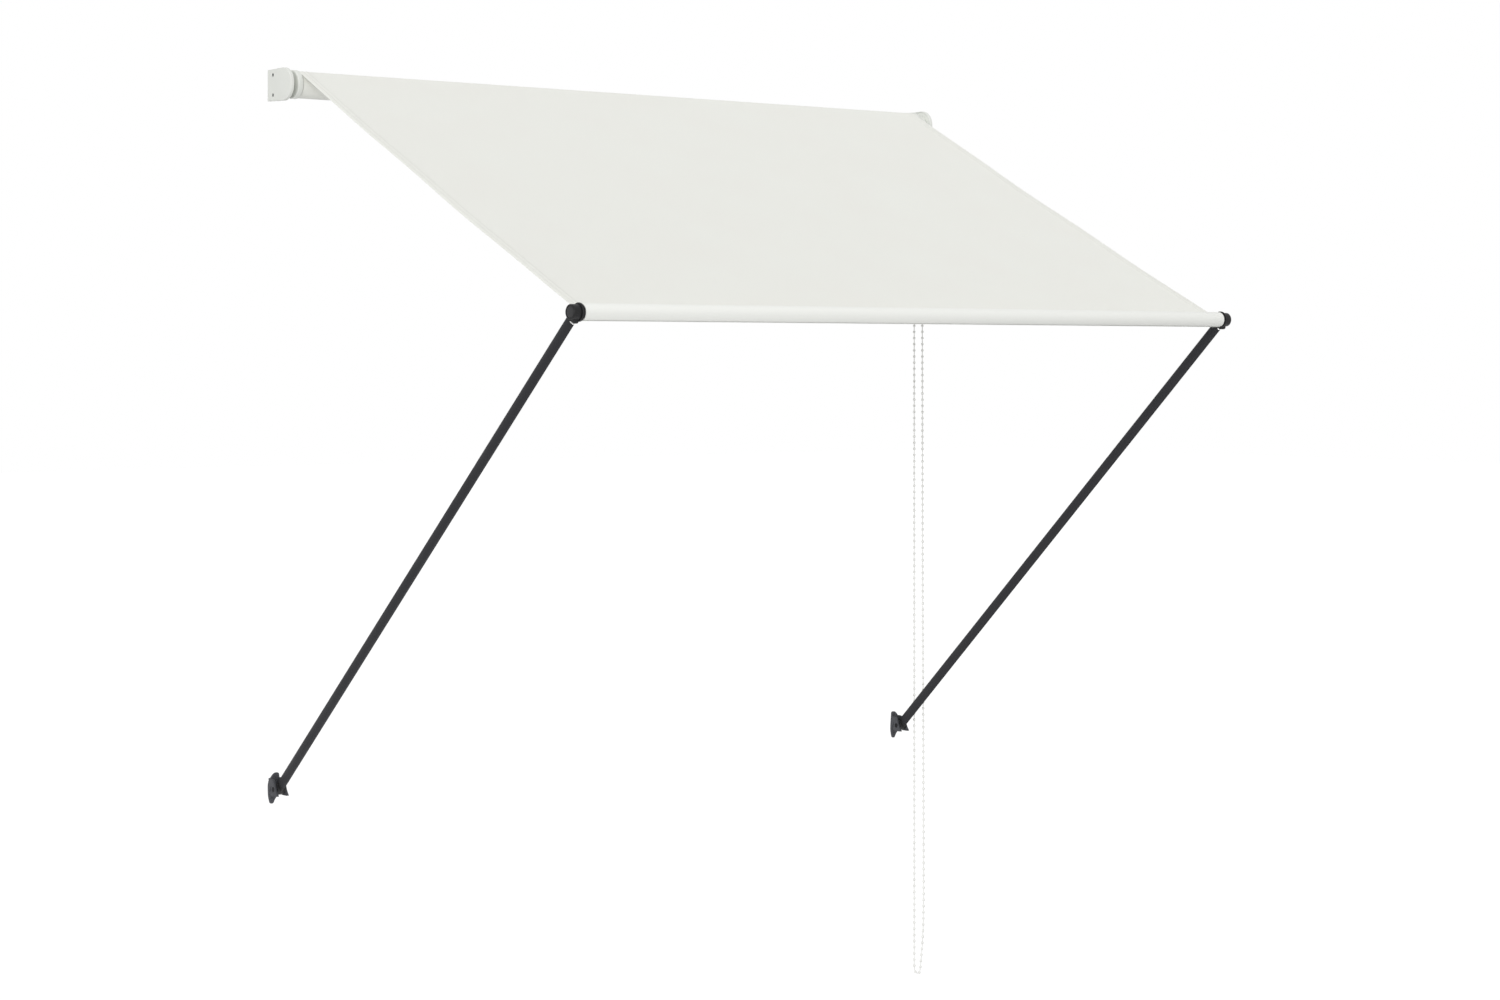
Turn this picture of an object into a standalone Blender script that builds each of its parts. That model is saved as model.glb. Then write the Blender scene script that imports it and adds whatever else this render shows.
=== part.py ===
"""Wall awning: a cloth on a roller, let out over a front bar that two tube arms carry, worked by a bead chain.

Metres, +Z up. X runs across the front, the wall is the plane Y = 0 and the awning stands out towards -Y.
The origin is on the wall, midway between the two arms and level with the roller's axis.
"""

import math

import bmesh
import bpy

mm = 0.001

# Driving dimensions of the frame
arm_spacing = 1476 * mm
arm_length = 1206 * mm
arm_lean = math.radians(46.7)
roller_above_pivot = 1235 * mm
roller_from_wall = 50 * mm
pivot_from_wall = 18.5 * mm
running_gap = 0.3 * mm

# Cloth and roller
cloth_end_gap = 1.2 * mm
cloth_thickness = 0.5 * mm
hem_width = 18 * mm
hem_thickness = 0.9 * mm
leave_gap = 5 * mm
cloth_to_bar_end = 0.2 * mm
cloth_build = 1.8 * mm
tube_radius = 22 * mm
tube_wall = 1.5 * mm
plug_flange_step = 1.4 * mm
plug_spigot_length = 34 * mm
idle_flange_width = 10 * mm
drive_flange_width = 6 * mm
idle_pin_radius = 4 * mm
idle_pin_length = 44 * mm

# Roller brackets
nose_cover = 5.2 * mm
cover_taper = 1.7 * mm
cover_depth = 7 * mm
cover_wall = 2.4 * mm
arm_to_left_face = 12 * mm
arm_to_right_face = 34 * mm
web_thickness = 4 * mm
flange_thickness = 3.5 * mm
flange_width = 26 * mm
flange_inset = 7.4 * mm
wall_screw_radius = 2.3 * mm
wall_screw_spacing = 30 * mm
idle_boss_radius = 11 * mm
idle_boss_gap = 1 * mm
cover_screw_from_wall = 17.5 * mm
cover_screw_height = 17.7 * mm
cover_screw_length = 11 * mm
screw_shank_radius = 1.4 * mm
screw_head_radius = 2.7 * mm
screw_head_height = 1 * mm
screw_head_sink = 0.5 * mm
screw_boss_radius = 4 * mm
screw_boss_length = 5 * mm

# Chain drive, at the right end of the roller
chain_radius = 3 * mm
chain_pitch_radius = 12.1 * mm
wheel_chain_radius = 2.6 * mm
wheel_rim_step = 3.5 * mm
wheel_rim_width = 1.2 * mm
wheel_neck_step = 0.5 * mm
wheel_seat_depth = 4 * mm
core_radius = 7 * mm
core_bore_radius = 3 * mm
core_end_gap = 1 * mm
housing_clearance = 1.4 * mm
housing_wall = 2.2 * mm
housing_floor = 1.7 * mm
chain_gate_top = 8 * mm
spring_wire_radius = 0.5 * mm
spring_inner_gap = 0.7 * mm
spring_outer_gap = 0.8 * mm
spring_turns = 7
spring_pitch = 2.4 * mm
spring_points_per_turn = 9
spring_space_depth = 38 * mm
drive_plug_wall = 3 * mm

# Front bar
bar_radius = 13.75 * mm
bar_wall = 1.4 * mm
groove_radius = 3.3 * mm
groove_lip = 1.2 * mm
groove_wall = 1.2 * mm
slot_width = 2.8 * mm
valance_groove_angle = math.radians(-137)
welt_gap = 0.4 * mm
bar_flange_step = 1.25 * mm
bar_flange_width = 3.7 * mm
bar_shoulder_width = 2.8 * mm
bar_spigot_length = 30 * mm
stub_radius = 4 * mm
stub_screw_radius = 2 * mm
stub_screw_depth = 8 * mm

# Arms
arm_tube_half_width = 5 * mm
arm_tube_half_depth = 9.9 * mm
arm_tube_wall = 1.2 * mm
arm_spigot_length = 30 * mm
head_radius = 12.5 * mm
head_outside = 12 * mm
head_inside = 2.5 * mm
head_edge = 1.2 * mm
head_neck_end = 15.4 * mm
neck_step = 0.1 * mm
lug_reach = 17.8 * mm
lug_half_width = 4.2 * mm
lug_inside = 2.3 * mm
lug_outside = 5 * mm
cap_rim = 3.5 * mm
cap_thickness = 2.4 * mm
cap_dome = 0.5 * mm
washer_inset = 2.5 * mm
washer_thickness = 1 * mm
stub_head_radius = 3.8 * mm
stub_head_height = 1.5 * mm
arm_ring_step = 0.5 * mm
arm_ring_width = 2 * mm
foot_eye_step = 0.2 * mm
foot_neck_end = 14 * mm

# Foot brackets
cheek_clearance = 3 * mm
foot_plate = 4 * mm
foot_half_height = 27 * mm
cheek_thickness = 4 * mm
pivot_pin_radius = 4 * mm
foot_screw_height = 18.5 * mm
foot_screw_offset = 4.5 * mm
foot_cheek_top = 18.5 * mm
foot_cheek_bottom = 11.8 * mm
foot_cheek_front = 7.7 * mm
foot_toe = 13.9 * mm

# Where the free chain runs: (Y, Z) from the front strand down, round the low end and up the back strand
chain_route = (
    (-62.1 * mm, -20 * mm),
    (-62.3 * mm, -400 * mm),
    (-63.5 * mm, -900 * mm),
    (-65.5 * mm, -1300 * mm),
    (-66.5 * mm, -1540 * mm),
    (-66.0 * mm, -1610 * mm),
    (-64.0 * mm, -1660 * mm),
    (-61.0 * mm, -1694 * mm),
    (-58.6 * mm, -1714 * mm),
    (-57.0 * mm, -1727 * mm),
    (-55.9 * mm, -1735.5 * mm),
    (-53.4 * mm, -1742 * mm),
    (-47.4 * mm, -1744.9 * mm),
    (-41.2 * mm, -1742.4 * mm),
    (-38.5 * mm, -1736 * mm),
    (-38.0 * mm, -1727.5 * mm),
    (-37.9 * mm, -1714 * mm),
    (-37.9 * mm, -1690 * mm),
    (-37.9 * mm, -1600 * mm),
    (-37.9 * mm, -1200 * mm),
    (-37.9 * mm, -600 * mm),
    (-37.9 * mm, -20 * mm),
)
chain_loose_step = 80 * mm
chain_bend_step = 9 * mm
chain_bend_below = -1600 * mm

# Worked out from the sizes above
left, right = -1, 1
foot_width = 2 * (arm_tube_half_width + cheek_clearance + cheek_thickness)
foot_eye_radius = arm_tube_half_depth + foot_eye_step
cap_radius = head_radius - cap_rim
washer_radius = cap_radius - washer_inset
welt_radius = groove_radius - welt_gap
bar_flange_radius = bar_radius + bar_flange_step
roll_radius = tube_radius + cloth_build
plug_flange_radius = roll_radius + plug_flange_step
bracket_nose_radius = roll_radius + nose_cover
wheel_rim_radius = chain_pitch_radius + wheel_rim_step
wheel_groove_radius = chain_pitch_radius - wheel_chain_radius - running_gap
housing_bore_radius = wheel_rim_radius + housing_clearance
spring_radius = core_radius + spring_inner_gap + spring_wire_radius
spring_space_radius = spring_radius + spring_wire_radius + spring_outer_gap
wheel_neck_radius = spring_space_radius + wheel_neck_step
arm_place = {left: -arm_spacing / 2, right: arm_spacing / 2}
outer_face = {left: arm_place[left] - arm_to_left_face, right: arm_place[right] + arm_to_right_face}
bar_centre_y = -pivot_from_wall - arm_length * math.sin(arm_lean)
bar_centre_z = -roller_above_pivot + arm_length * math.cos(arm_lean)
bar_half = arm_spacing / 2 - head_inside - running_gap - bar_flange_width - running_gap
bar_end = bar_half - bar_shoulder_width
cloth_width = 2 * (bar_half - cloth_end_gap)
cloth_centre_at_roller = (arm_spacing - cloth_width) / 2
cloth_centre_at_bar = cloth_to_bar_end - cloth_end_gap
groove_place = bar_radius - groove_lip - groove_radius
bar_shoulder_radius = groove_place + welt_radius - running_gap / 2
cover_inner = cover_wall + running_gap
web_end = cover_inner + web_thickness
roll_left = cloth_centre_at_roller - cloth_width / 2
roll_right = cloth_centre_at_roller + cloth_width / 2
wheel_middle = web_end + running_gap + housing_floor + running_gap + wheel_rim_width + wheel_chain_radius + running_gap
chain_x = outer_face[right] - wheel_middle
spring_seat = roll_right + drive_flange_width - wheel_seat_depth


def cloth_line():
    """(Y, Z) where the cloth leaves the top of the roll, its length to the bar's axis and its slope."""
    along_y, along_z = bar_centre_y + roller_from_wall, bar_centre_z
    reach = math.hypot(along_y, along_z)
    radius = roll_radius - cloth_thickness / 2
    angle = math.atan2(along_z, along_y) - math.acos(radius / reach)
    leave = (-roller_from_wall + radius * math.cos(angle), radius * math.sin(angle))
    slope = math.atan2(leave[1] - bar_centre_z, leave[0] - bar_centre_y)
    return leave, math.sqrt(reach**2 - radius**2), slope, angle


cloth_leaves, cloth_reach, cloth_slope, cloth_leave_angle = cloth_line()


def linear(channel):
    return channel / 12.92 if channel <= 0.04045 else ((channel + 0.055) / 1.055) ** 2.4


def finish(name, colour, roughness, metallic=0.0):
    """A plain surface, its colour given as an sRGB hex string."""
    made = bpy.data.materials.new(name)
    made.use_nodes = True
    surface = made.node_tree.nodes["Principled BSDF"]
    channels = [linear(int(colour[i : i + 2], 16) / 255) for i in (0, 2, 4)]
    surface.inputs["Base Color"].default_value = (*channels, 1)
    surface.inputs["Roughness"].default_value = roughness
    surface.inputs["Metallic"].default_value = metallic
    return made


def empty(name, parent, place, turn=0.0):
    """An axis that pieces hang on: turned about X."""
    made = bpy.data.objects.new(name, None)
    bpy.context.collection.objects.link(made)
    made.parent = parent
    made.location = place
    made.rotation_euler = (turn, 0, 0)
    return made


def add(name, shape, surface, parent):
    """Makes an object of a bmesh, facing outwards and shaded smooth between its edges."""
    bmesh.ops.recalc_face_normals(shape, faces=shape.faces)
    mesh = bpy.data.meshes.new(name)
    shape.to_mesh(mesh)
    shape.free()
    mesh.materials.append(surface)
    mesh.shade_smooth()
    mesh.set_sharp_from_angle(angle=math.radians(35))
    made = bpy.data.objects.new(name, mesh)
    bpy.context.collection.objects.link(made)
    made.parent = parent
    return made


def point(axis, along, u, v):
    """A point that lies along the axis, with u and v across it."""
    return {"X": (along, u, v), "Y": (u, along, v), "Z": (u, v, along)}[axis]


def turned(name, profile, surface, parent, sides=32, axis="X", centre=(0, 0)):
    """A turned solid: (place along the axis, radius) points. A profile that starts off the axis closes on itself."""
    shape = bmesh.new()
    rings = []
    for along, radius in profile:
        count = sides if radius > 0 else 1
        turn = 2 * math.pi / sides
        ring = [
            shape.verts.new(
                point(
                    axis,
                    along,
                    centre[0] + radius * math.cos(i * turn),
                    centre[1] + radius * math.sin(i * turn),
                )
            )
            for i in range(count)
        ]
        rings.append(ring)
    pairs = list(zip(rings, rings[1:]))
    if profile[0][1] > 0:
        pairs.append((rings[-1], rings[0]))
    for a, b in pairs:
        for i in range(sides):
            corners = [a[i % len(a)], a[(i + 1) % len(a)], b[(i + 1) % len(b)], b[i % len(b)]]
            shape.faces.new(list(dict.fromkeys(corners)))
    return add(name, shape, surface, parent)


def prism(name, outlines, low, high, surface, parent, axis="X", shift=0.0):
    """A straight solid between low and high: the first outline is its outside, the others are holes.
    The end at high stands shift further along u."""
    shape = bmesh.new()
    edges, loops = [], []
    for outline in outlines:
        loop = [shape.verts.new(point(axis, low, u, v)) for u, v in outline]
        edges += [shape.edges.new((loop[i - 1], loop[i])) for i in range(len(loop))]
        loops.append(loop)
    bmesh.ops.triangle_fill(shape, edges=edges, use_beauty=True, use_dissolve=False)
    near_faces = list(shape.faces)
    far = {}
    for loop, outline in zip(loops, outlines):
        for corner, (u, v) in zip(loop, outline):
            far[corner] = shape.verts.new(point(axis, high, u + shift, v))
    for face in near_faces:
        shape.faces.new([far[corner] for corner in reversed(face.verts)])
    for loop in loops:
        for i in range(len(loop)):
            shape.faces.new((loop[i - 1], loop[i], far[loop[i]], far[loop[i - 1]]))
    return add(name, shape, surface, parent)


def box(name, low, high, surface, parent):
    outline = [(low[1], low[2]), (high[1], low[2]), (high[1], high[2]), (low[1], high[2])]
    return prism(name, [outline], low[0], high[0], surface, parent)


def helper(made):
    """Keeps a cutter or a joined half out of the model."""
    made.hide_render = True
    made.display_type = "WIRE"
    return made


def combine(made, other, operation):
    """Joins another solid to this one, or cuts it away."""
    modifier = made.modifiers.new(other.name, "BOOLEAN")
    modifier.operation = operation
    modifier.object = helper(other)
    return made


def arc(centre, radius, start, end, steps):
    """Points on an arc, both ends included."""
    return [
        (
            centre[0] + radius * math.cos(start + (end - start) * i / steps),
            centre[1] + radius * math.sin(start + (end - start) * i / steps),
        )
        for i in range(steps + 1)
    ]


def circle(centre, radius, sides):
    return arc(centre, radius, 0, 2 * math.pi, sides)[:-1]


def oval(growth):
    """The arm tube's oval section in X and Y, grown outwards all round."""
    turns = [2 * math.pi * i / 24 for i in range(24)]
    wide, deep = arm_tube_half_width + growth, arm_tube_half_depth + growth
    return [(wide * math.cos(turn), deep * math.sin(turn)) for turn in turns]


def rounded(outline, cuts):
    """The outline with its corners cut, twice as many each time."""
    for _ in range(cuts):
        cut = []
        for (u0, v0), (u1, v1) in zip(outline, outline[1:] + outline[:1]):
            cut.append((0.8 * u0 + 0.2 * u1, 0.8 * v0 + 0.2 * v1))
            cut.append((0.2 * u0 + 0.8 * u1, 0.2 * v0 + 0.8 * v1))
        outline = cut
    return outline


def clear_scene():
    for made in list(bpy.data.objects):
        bpy.data.objects.remove(made, do_unlink=True)


def bracket_outline(inset, back=0.0):
    """The D shape of a roller bracket in Y and Z, from the wall out to its round nose, where it stands taller."""
    radius = bracket_nose_radius - inset
    nose = arc((-roller_from_wall, 0), radius, math.pi / 2, 3 * math.pi / 2, 24)
    half = radius - cover_taper * (roller_from_wall + back) / roller_from_wall
    return [(back, half)] + nose + [(back, -half)]


def span(side, near, far):
    """X of two depths, counted inwards from the outer face of a roller bracket."""
    return outer_face[side] - side * near, outer_face[side] - side * far


def bracket_cover(name, side, surface, parent):
    """The outer D-shaped shell, with two sunk screw holes."""
    outer, inner = span(side, 0, cover_depth)
    cover = prism(name, [bracket_outline(0)], outer, inner, surface, parent)
    floor, beyond = span(side, cover_wall, cover_depth + cover_wall)
    hollow = bracket_outline(cover_wall - 0.2 * mm, back=cover_wall)
    combine(cover, prism(name + "_hollow", [hollow], floor, beyond, surface, parent), "DIFFERENCE")
    before, sunk = span(side, -1 * mm, screw_head_sink + screw_head_height + running_gap)
    for height in (-cover_screw_height, cover_screw_height):
        hole = turned(
            f"{name}_hole_{height:+.4f}",
            [
                (before, 0),
                (before, screw_head_radius + running_gap),
                (sunk, screw_head_radius + running_gap),
                (sunk, screw_shank_radius + running_gap),
                (beyond, screw_shank_radius + running_gap),
                (beyond, 0),
            ],
            surface,
            parent,
            sides=20,
            centre=(-cover_screw_from_wall, height),
        )
        combine(cover, hole, "DIFFERENCE")
    return cover


def bracket_base(name, side, bore, surface, parent):
    """The wall flange and the upright web behind the cover, with a bore at the roller's axis."""
    outline = bracket_outline(cover_wall + running_gap)
    holes = [circle((-roller_from_wall, 0), bore, 24)]
    for height in (-cover_screw_height, cover_screw_height):
        holes.append(circle((-cover_screw_from_wall, height), screw_shank_radius + running_gap, 12))
    base = prism(name, [outline] + holes, *span(side, cover_inner, web_end), surface, parent)
    for height in (-cover_screw_height, cover_screw_height):
        start, end = span(side, web_end - 0.5 * mm, web_end + screw_boss_length)
        hole_radius = screw_shank_radius + running_gap
        lug = turned(
            f"{name}_lug_{height:+.4f}",
            [(start, hole_radius), (start, screw_boss_radius), (end, screw_boss_radius), (end, hole_radius)],
            surface,
            parent,
            sides=12,
            centre=(-cover_screw_from_wall, height),
        )
        combine(base, lug, "UNION")
    across = sorted(span(side, web_end - 0.5 * mm, web_end + flange_width))
    middle = (across[0] + across[1]) / 2
    screws = [circle((middle, z), wall_screw_radius, 16) for z in (-wall_screw_spacing / 2, wall_screw_spacing / 2)]
    half = bracket_nose_radius - flange_inset
    plate = [(across[0], -half), (across[1], -half), (across[1], half), (across[0], half)]
    flange = prism(name + "_flange", [plate] + screws, -flange_thickness, 0, surface, parent, axis="Y")
    combine(base, flange, "UNION")
    return base


def cover_screw(name, side, height, surface, parent):
    top, under = span(side, screw_head_sink, screw_head_sink + screw_head_height)
    slot, end = span(side, screw_head_sink + 0.6 * screw_head_height, screw_head_sink + cover_screw_length)
    recess = 0.45 * screw_head_radius
    profile = [(slot, 0), (slot, recess), (top, recess), (top, screw_head_radius), (under, screw_head_radius)]
    profile += [(under, screw_shank_radius), (end, screw_shank_radius), (end, 0)]
    return turned(name, profile, surface, parent, sides=16, centre=(-cover_screw_from_wall, height))


def roller_brackets(frame, plastic, steel):
    idle_bore = idle_pin_radius + running_gap
    core_bore = core_radius + running_gap
    left_base = bracket_base("bracket_base_left", left, idle_bore, plastic, frame)
    start = span(left, 0, web_end - 0.5 * mm)[1]
    end = roll_left - running_gap - idle_flange_width - idle_boss_gap
    boss = [(start, idle_bore), (start, idle_boss_radius), (end, idle_boss_radius), (end, idle_bore)]
    boss_solid = turned("idle_boss", boss, plastic, frame, sides=24, centre=(-roller_from_wall, 0))
    combine(left_base, boss_solid, "UNION")
    bracket_base("bracket_base_right", right, core_bore, plastic, frame)
    for word, side in (("left", left), ("right", right)):
        bracket_cover("bracket_cover_" + word, side, plastic, frame)
        for spot, height in (("upper", cover_screw_height), ("lower", -cover_screw_height)):
            cover_screw(f"cover_screw_{word}_{spot}", side, height, steel, frame)
    start, end = span(left, cover_inner, cover_inner + idle_pin_length)
    pin = [(start, 0), (start, idle_pin_radius), (end, idle_pin_radius), (end, 0)]
    turned("idle_pin", pin, steel, frame, sides=20, centre=(-roller_from_wall, 0))


def spiral_outline():
    """The outside of the turns of cloth: it steps in by one thickness where the cloth leaves."""
    sides = 60
    return [
        (
            (roll_radius - cloth_thickness * (1 - i / sides)) * math.cos(cloth_leave_angle + 2 * math.pi * i / sides),
            (roll_radius - cloth_thickness * (1 - i / sides)) * math.sin(cloth_leave_angle + 2 * math.pi * i / sides),
        )
        for i in range(sides + 1)
    ]


def roller(axis, steel, plastic, cloth):
    """The tube, its plugs, the chain wheel and the turns of cloth, all in the roller's own frame."""
    inner = tube_radius - tube_wall
    tube = [(roll_left, inner), (roll_left, tube_radius), (roll_right, tube_radius), (roll_right, inner)]
    turned("roller_tube", tube, steel, axis, sides=40)
    bore = circle((0, 0), tube_radius + running_gap, 40)
    ends = roll_left + running_gap, roll_right - running_gap
    prism("cloth_roll", [spiral_outline(), bore], *ends, cloth, axis)

    spigot = inner - running_gap
    face = roll_left - running_gap
    pin_bore = idle_pin_radius + running_gap
    bottom = span(left, 0, cover_inner + idle_pin_length)[1] + running_gap
    idle = [
        (bottom, 0),
        (bottom, pin_bore),
        (face - idle_flange_width, pin_bore),
        (face - idle_flange_width, plug_flange_radius - 0.8 * mm),
        (face - idle_flange_width + 0.8 * mm, plug_flange_radius),
        (face, plug_flange_radius),
        (face, spigot),
        (face + plug_spigot_length, spigot),
        (face + plug_spigot_length, 0),
    ]
    turned("idle_plug", idle, plastic, axis, sides=32)

    face = roll_right + running_gap
    outside = face + drive_flange_width
    seat = wheel_neck_radius + running_gap
    floor = spring_seat
    drive = [
        (floor - spring_space_depth, 0),
        (floor - spring_space_depth, spring_space_radius),
        (floor, spring_space_radius),
        (floor, seat),
        (outside, seat),
        (outside, plug_flange_radius),
        (face, plug_flange_radius),
        (face, spigot),
        (floor - spring_space_depth - drive_plug_wall, spigot),
        (floor - spring_space_depth - drive_plug_wall, 0),
    ]
    turned("drive_plug", drive, plastic, axis, sides=32)
    chain_wheel(axis, outside - wheel_seat_depth, plastic)


def chain_wheel(axis, neck_end, plastic):
    """A grooved wheel, whose neck plugs into the drive plug."""
    hub = core_radius + running_gap
    half_groove = wheel_chain_radius + running_gap
    outside = chain_x + half_groove + wheel_rim_width
    inside = chain_x - half_groove - wheel_rim_width
    profile = [
        (outside, hub),
        (outside, wheel_rim_radius),
        (chain_x + half_groove, wheel_rim_radius),
        (chain_x + half_groove, wheel_groove_radius),
        (chain_x - half_groove, wheel_groove_radius),
        (chain_x - half_groove, wheel_rim_radius),
        (inside, wheel_rim_radius),
        (inside, wheel_neck_radius),
        (neck_end, wheel_neck_radius),
        (neck_end, hub),
    ]
    turned("chain_wheel", profile, plastic, axis, sides=30)


def chain_drive(frame, steel, plastic):
    """The fixed pieces round the chain wheel: core, spring, housing and lid."""
    centre = (-roller_from_wall, 0)
    start = outer_face[right] - cover_inner
    end = spring_seat - spring_space_depth + core_end_gap
    core = [(start, core_bore_radius), (start, core_radius), (end, core_radius), (end, core_bore_radius)]
    turned("clutch_core", core, plastic, frame, sides=24, centre=centre)

    floor, floor_in = span(right, web_end + running_gap, web_end + running_gap + housing_floor)
    rim = chain_x - wheel_chain_radius - wheel_rim_width - 2 * running_gap
    bore = core_radius + running_gap
    outer = housing_bore_radius + housing_wall
    housing = turned(
        "chain_housing",
        [(floor, bore), (floor, outer), (rim, outer), (rim, housing_bore_radius), (floor_in, housing_bore_radius), (floor_in, bore)],
        plastic,
        frame,
        sides=32,
        centre=centre,
    )
    gate_half = chain_pitch_radius + chain_radius + running_gap
    gate = box(
        "chain_gate",
        (rim - 1 * mm, -roller_from_wall - gate_half, -outer - 1 * mm),
        (floor_in - 0.01 * mm, -roller_from_wall + gate_half, -chain_gate_top),
        plastic,
        frame,
    )
    combine(housing, gate, "DIFFERENCE")
    neck = wheel_neck_radius + running_gap
    low, high = rim - running_gap - housing_floor, rim - running_gap
    lid = [(high, neck), (high, outer), (low, outer), (low, neck)]
    turned("chain_housing_lid", lid, plastic, frame, sides=32, centre=centre)
    clutch_spring(frame, steel)


def tube_curve(name, points, radius, sides_setting, surface, parent):
    """A plain round cord or wire along the points."""
    curve = bpy.data.curves.new(name, "CURVE")
    curve.dimensions = "3D"
    curve.bevel_depth = radius
    curve.bevel_resolution = sides_setting
    curve.use_fill_caps = True
    spline = curve.splines.new("POLY")
    spline.points.add(len(points) - 1)
    for spot, place in zip(spline.points, points):
        spot.co = (*place, 1)
    curve.materials.append(surface)
    made = bpy.data.objects.new(name, curve)
    bpy.context.collection.objects.link(made)
    made.parent = parent
    return made


def clutch_spring(frame, steel):
    """The wrap spring round the core, inside the drive plug."""
    count = spring_turns * spring_points_per_turn
    length = spring_turns * spring_pitch
    start = spring_seat - (spring_space_depth + length) / 2
    points = []
    for i in range(count + 1):
        turn = 2 * math.pi * i / spring_points_per_turn
        across = spring_radius * math.cos(turn) - roller_from_wall
        points.append((start + length * i / count, across, spring_radius * math.sin(turn)))
    tube_curve("clutch_spring", points, spring_wire_radius, 1, steel, frame)


def smooth_route(route):
    """Points on a smooth curve through the route, close together where it bends."""
    fine = []
    ends = [route[0]] + list(route) + [route[-1]]
    for before, start, end, after in zip(ends, ends[1:], ends[2:], ends[3:]):
        for i in range(40):
            t = i / 40
            fine.append(
                tuple(
                    0.5 * (2 * s + (e - b) * t + (2 * b - 5 * s + 4 * e - a) * t**2 + (3 * s - b - 3 * e + a) * t**3)
                    for b, s, e, a in zip(before, start, end, after)
                )
            )
    points = [route[0]]
    for place in fine:
        step = chain_bend_step if place[1] < chain_bend_below else chain_loose_step
        if math.dist(points[-1], place) >= step and math.dist(route[-1], place) >= step / 2:
            points.append(place)
    return points + [route[-1]]


def chain(frame, plastic):
    """The free loop of chain, and the stretch of it that lies over the wheel."""
    free = [(chain_x, y, z) for y, z in smooth_route(chain_route)]
    tube_curve("bead_chain", free, chain_radius, 2, plastic, frame)
    top = chain_route[0][1] + running_gap
    over = [(chain_x, -roller_from_wall - chain_pitch_radius, top)]
    for y, z in arc((-roller_from_wall, 0), chain_pitch_radius, math.pi, 0, 14):
        over.append((chain_x, y, z))
    over.append((chain_x, -roller_from_wall + chain_pitch_radius, top))
    tube_curve("chain_over_wheel", over, wheel_chain_radius, 2, plastic, frame)


def groove_mouth(angle):
    """The outline of one welt groove, read from the bar's skin on one side of its slot to the other."""
    half = slot_width / 2
    mouth = math.asin(half / groove_radius)
    centre = (groove_place * math.cos(angle), groove_place * math.sin(angle))
    inside = arc(centre, groove_radius, angle - mouth, angle + mouth - 2 * math.pi, 14)
    skin = math.asin(half / bar_radius)
    before = (bar_radius * math.cos(angle - skin), bar_radius * math.sin(angle - skin))
    after = (bar_radius * math.cos(angle + skin), bar_radius * math.sin(angle + skin))
    return [before] + inside + [after]


def hollow_outline(gap):
    """The hollow between the bar's skin and the walls of its two grooves, or a plug that fits it with a gap."""
    skin = bar_radius - bar_wall - gap
    wall = groove_radius + groove_wall + gap
    spread = math.acos((skin**2 + groove_place**2 - wall**2) / (2 * skin * groove_place))
    turn = math.acos((groove_place**2 + wall**2 - skin**2) / (2 * groove_place * wall))
    outline = []
    stops = [(0.0, valance_groove_angle + 2 * math.pi), (valance_groove_angle, 0.0)]
    for here, following in stops:
        centre = (groove_place * math.cos(here), groove_place * math.sin(here))
        outline += arc(centre, wall, here + math.pi + turn, here + math.pi - turn, 10)
        outline += arc((0, 0), skin, here + spread, following - spread, 18)[1:-1]
    return outline


def bar_outline():
    steps = 26
    skin = math.asin(slot_width / 2 / bar_radius)
    first, second = 0.0, valance_groove_angle + 2 * math.pi
    outline = groove_mouth(first)
    outline += arc((0, 0), bar_radius, first + skin, second - skin, steps + 10)[1:-1]
    outline += groove_mouth(second)
    outline += arc((0, 0), bar_radius, second + skin, 2 * math.pi - skin, steps)[1:-1]
    return outline


def front_bar(bar, paint, plastic, steel, dark):
    """The extruded bar with its welt rod and end plugs, in the bar's own frame."""
    prism("front_bar", [bar_outline(), hollow_outline(0)], -bar_end, bar_end, paint, bar)
    half = bar_end - cloth_end_gap
    rod = [(-half, 0), (-half, welt_radius), (half, welt_radius), (half, 0)]
    turned("welt_rod", rod, plastic, bar, sides=16, centre=(groove_place, 0))
    for word, side in (("left", left), ("right", right)):
        shoulder = bar_end + running_gap
        inner_face = bar_half + running_gap
        outer = inner_face + bar_flange_width
        stub_end = outer + running_gap + head_inside + stub_length()
        bore = stub_screw_radius + running_gap
        plug = turned(
            "bar_plug_" + word,
            [
                (side * shoulder, 0),
                (side * shoulder, bar_shoulder_radius),
                (side * inner_face, bar_shoulder_radius),
                (side * inner_face, bar_flange_radius),
                (side * (outer - 0.5 * mm), bar_flange_radius),
                (side * outer, bar_flange_radius - 0.5 * mm),
                (side * outer, stub_radius),
                (side * stub_end, stub_radius),
                (side * stub_end, bore),
                (side * (stub_end - stub_screw_depth), bore),
                (side * (stub_end - stub_screw_depth), 0),
            ],
            dark,
            bar,
            sides=32,
        )
        ends = sorted((side * (shoulder + 0.5 * mm), side * (shoulder - bar_spigot_length)))
        spigot = prism(plug.name + "_spigot", [hollow_outline(running_gap)], *ends, dark, bar)
        combine(plug, spigot, "UNION")
        stub_fastening(bar, word, side, steel)


def stub_length():
    """How far the pivot stub reaches out past the arm's middle plane."""
    return head_outside - cap_thickness - 2 * running_gap - stub_head_height - washer_thickness - 2 * running_gap


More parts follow.
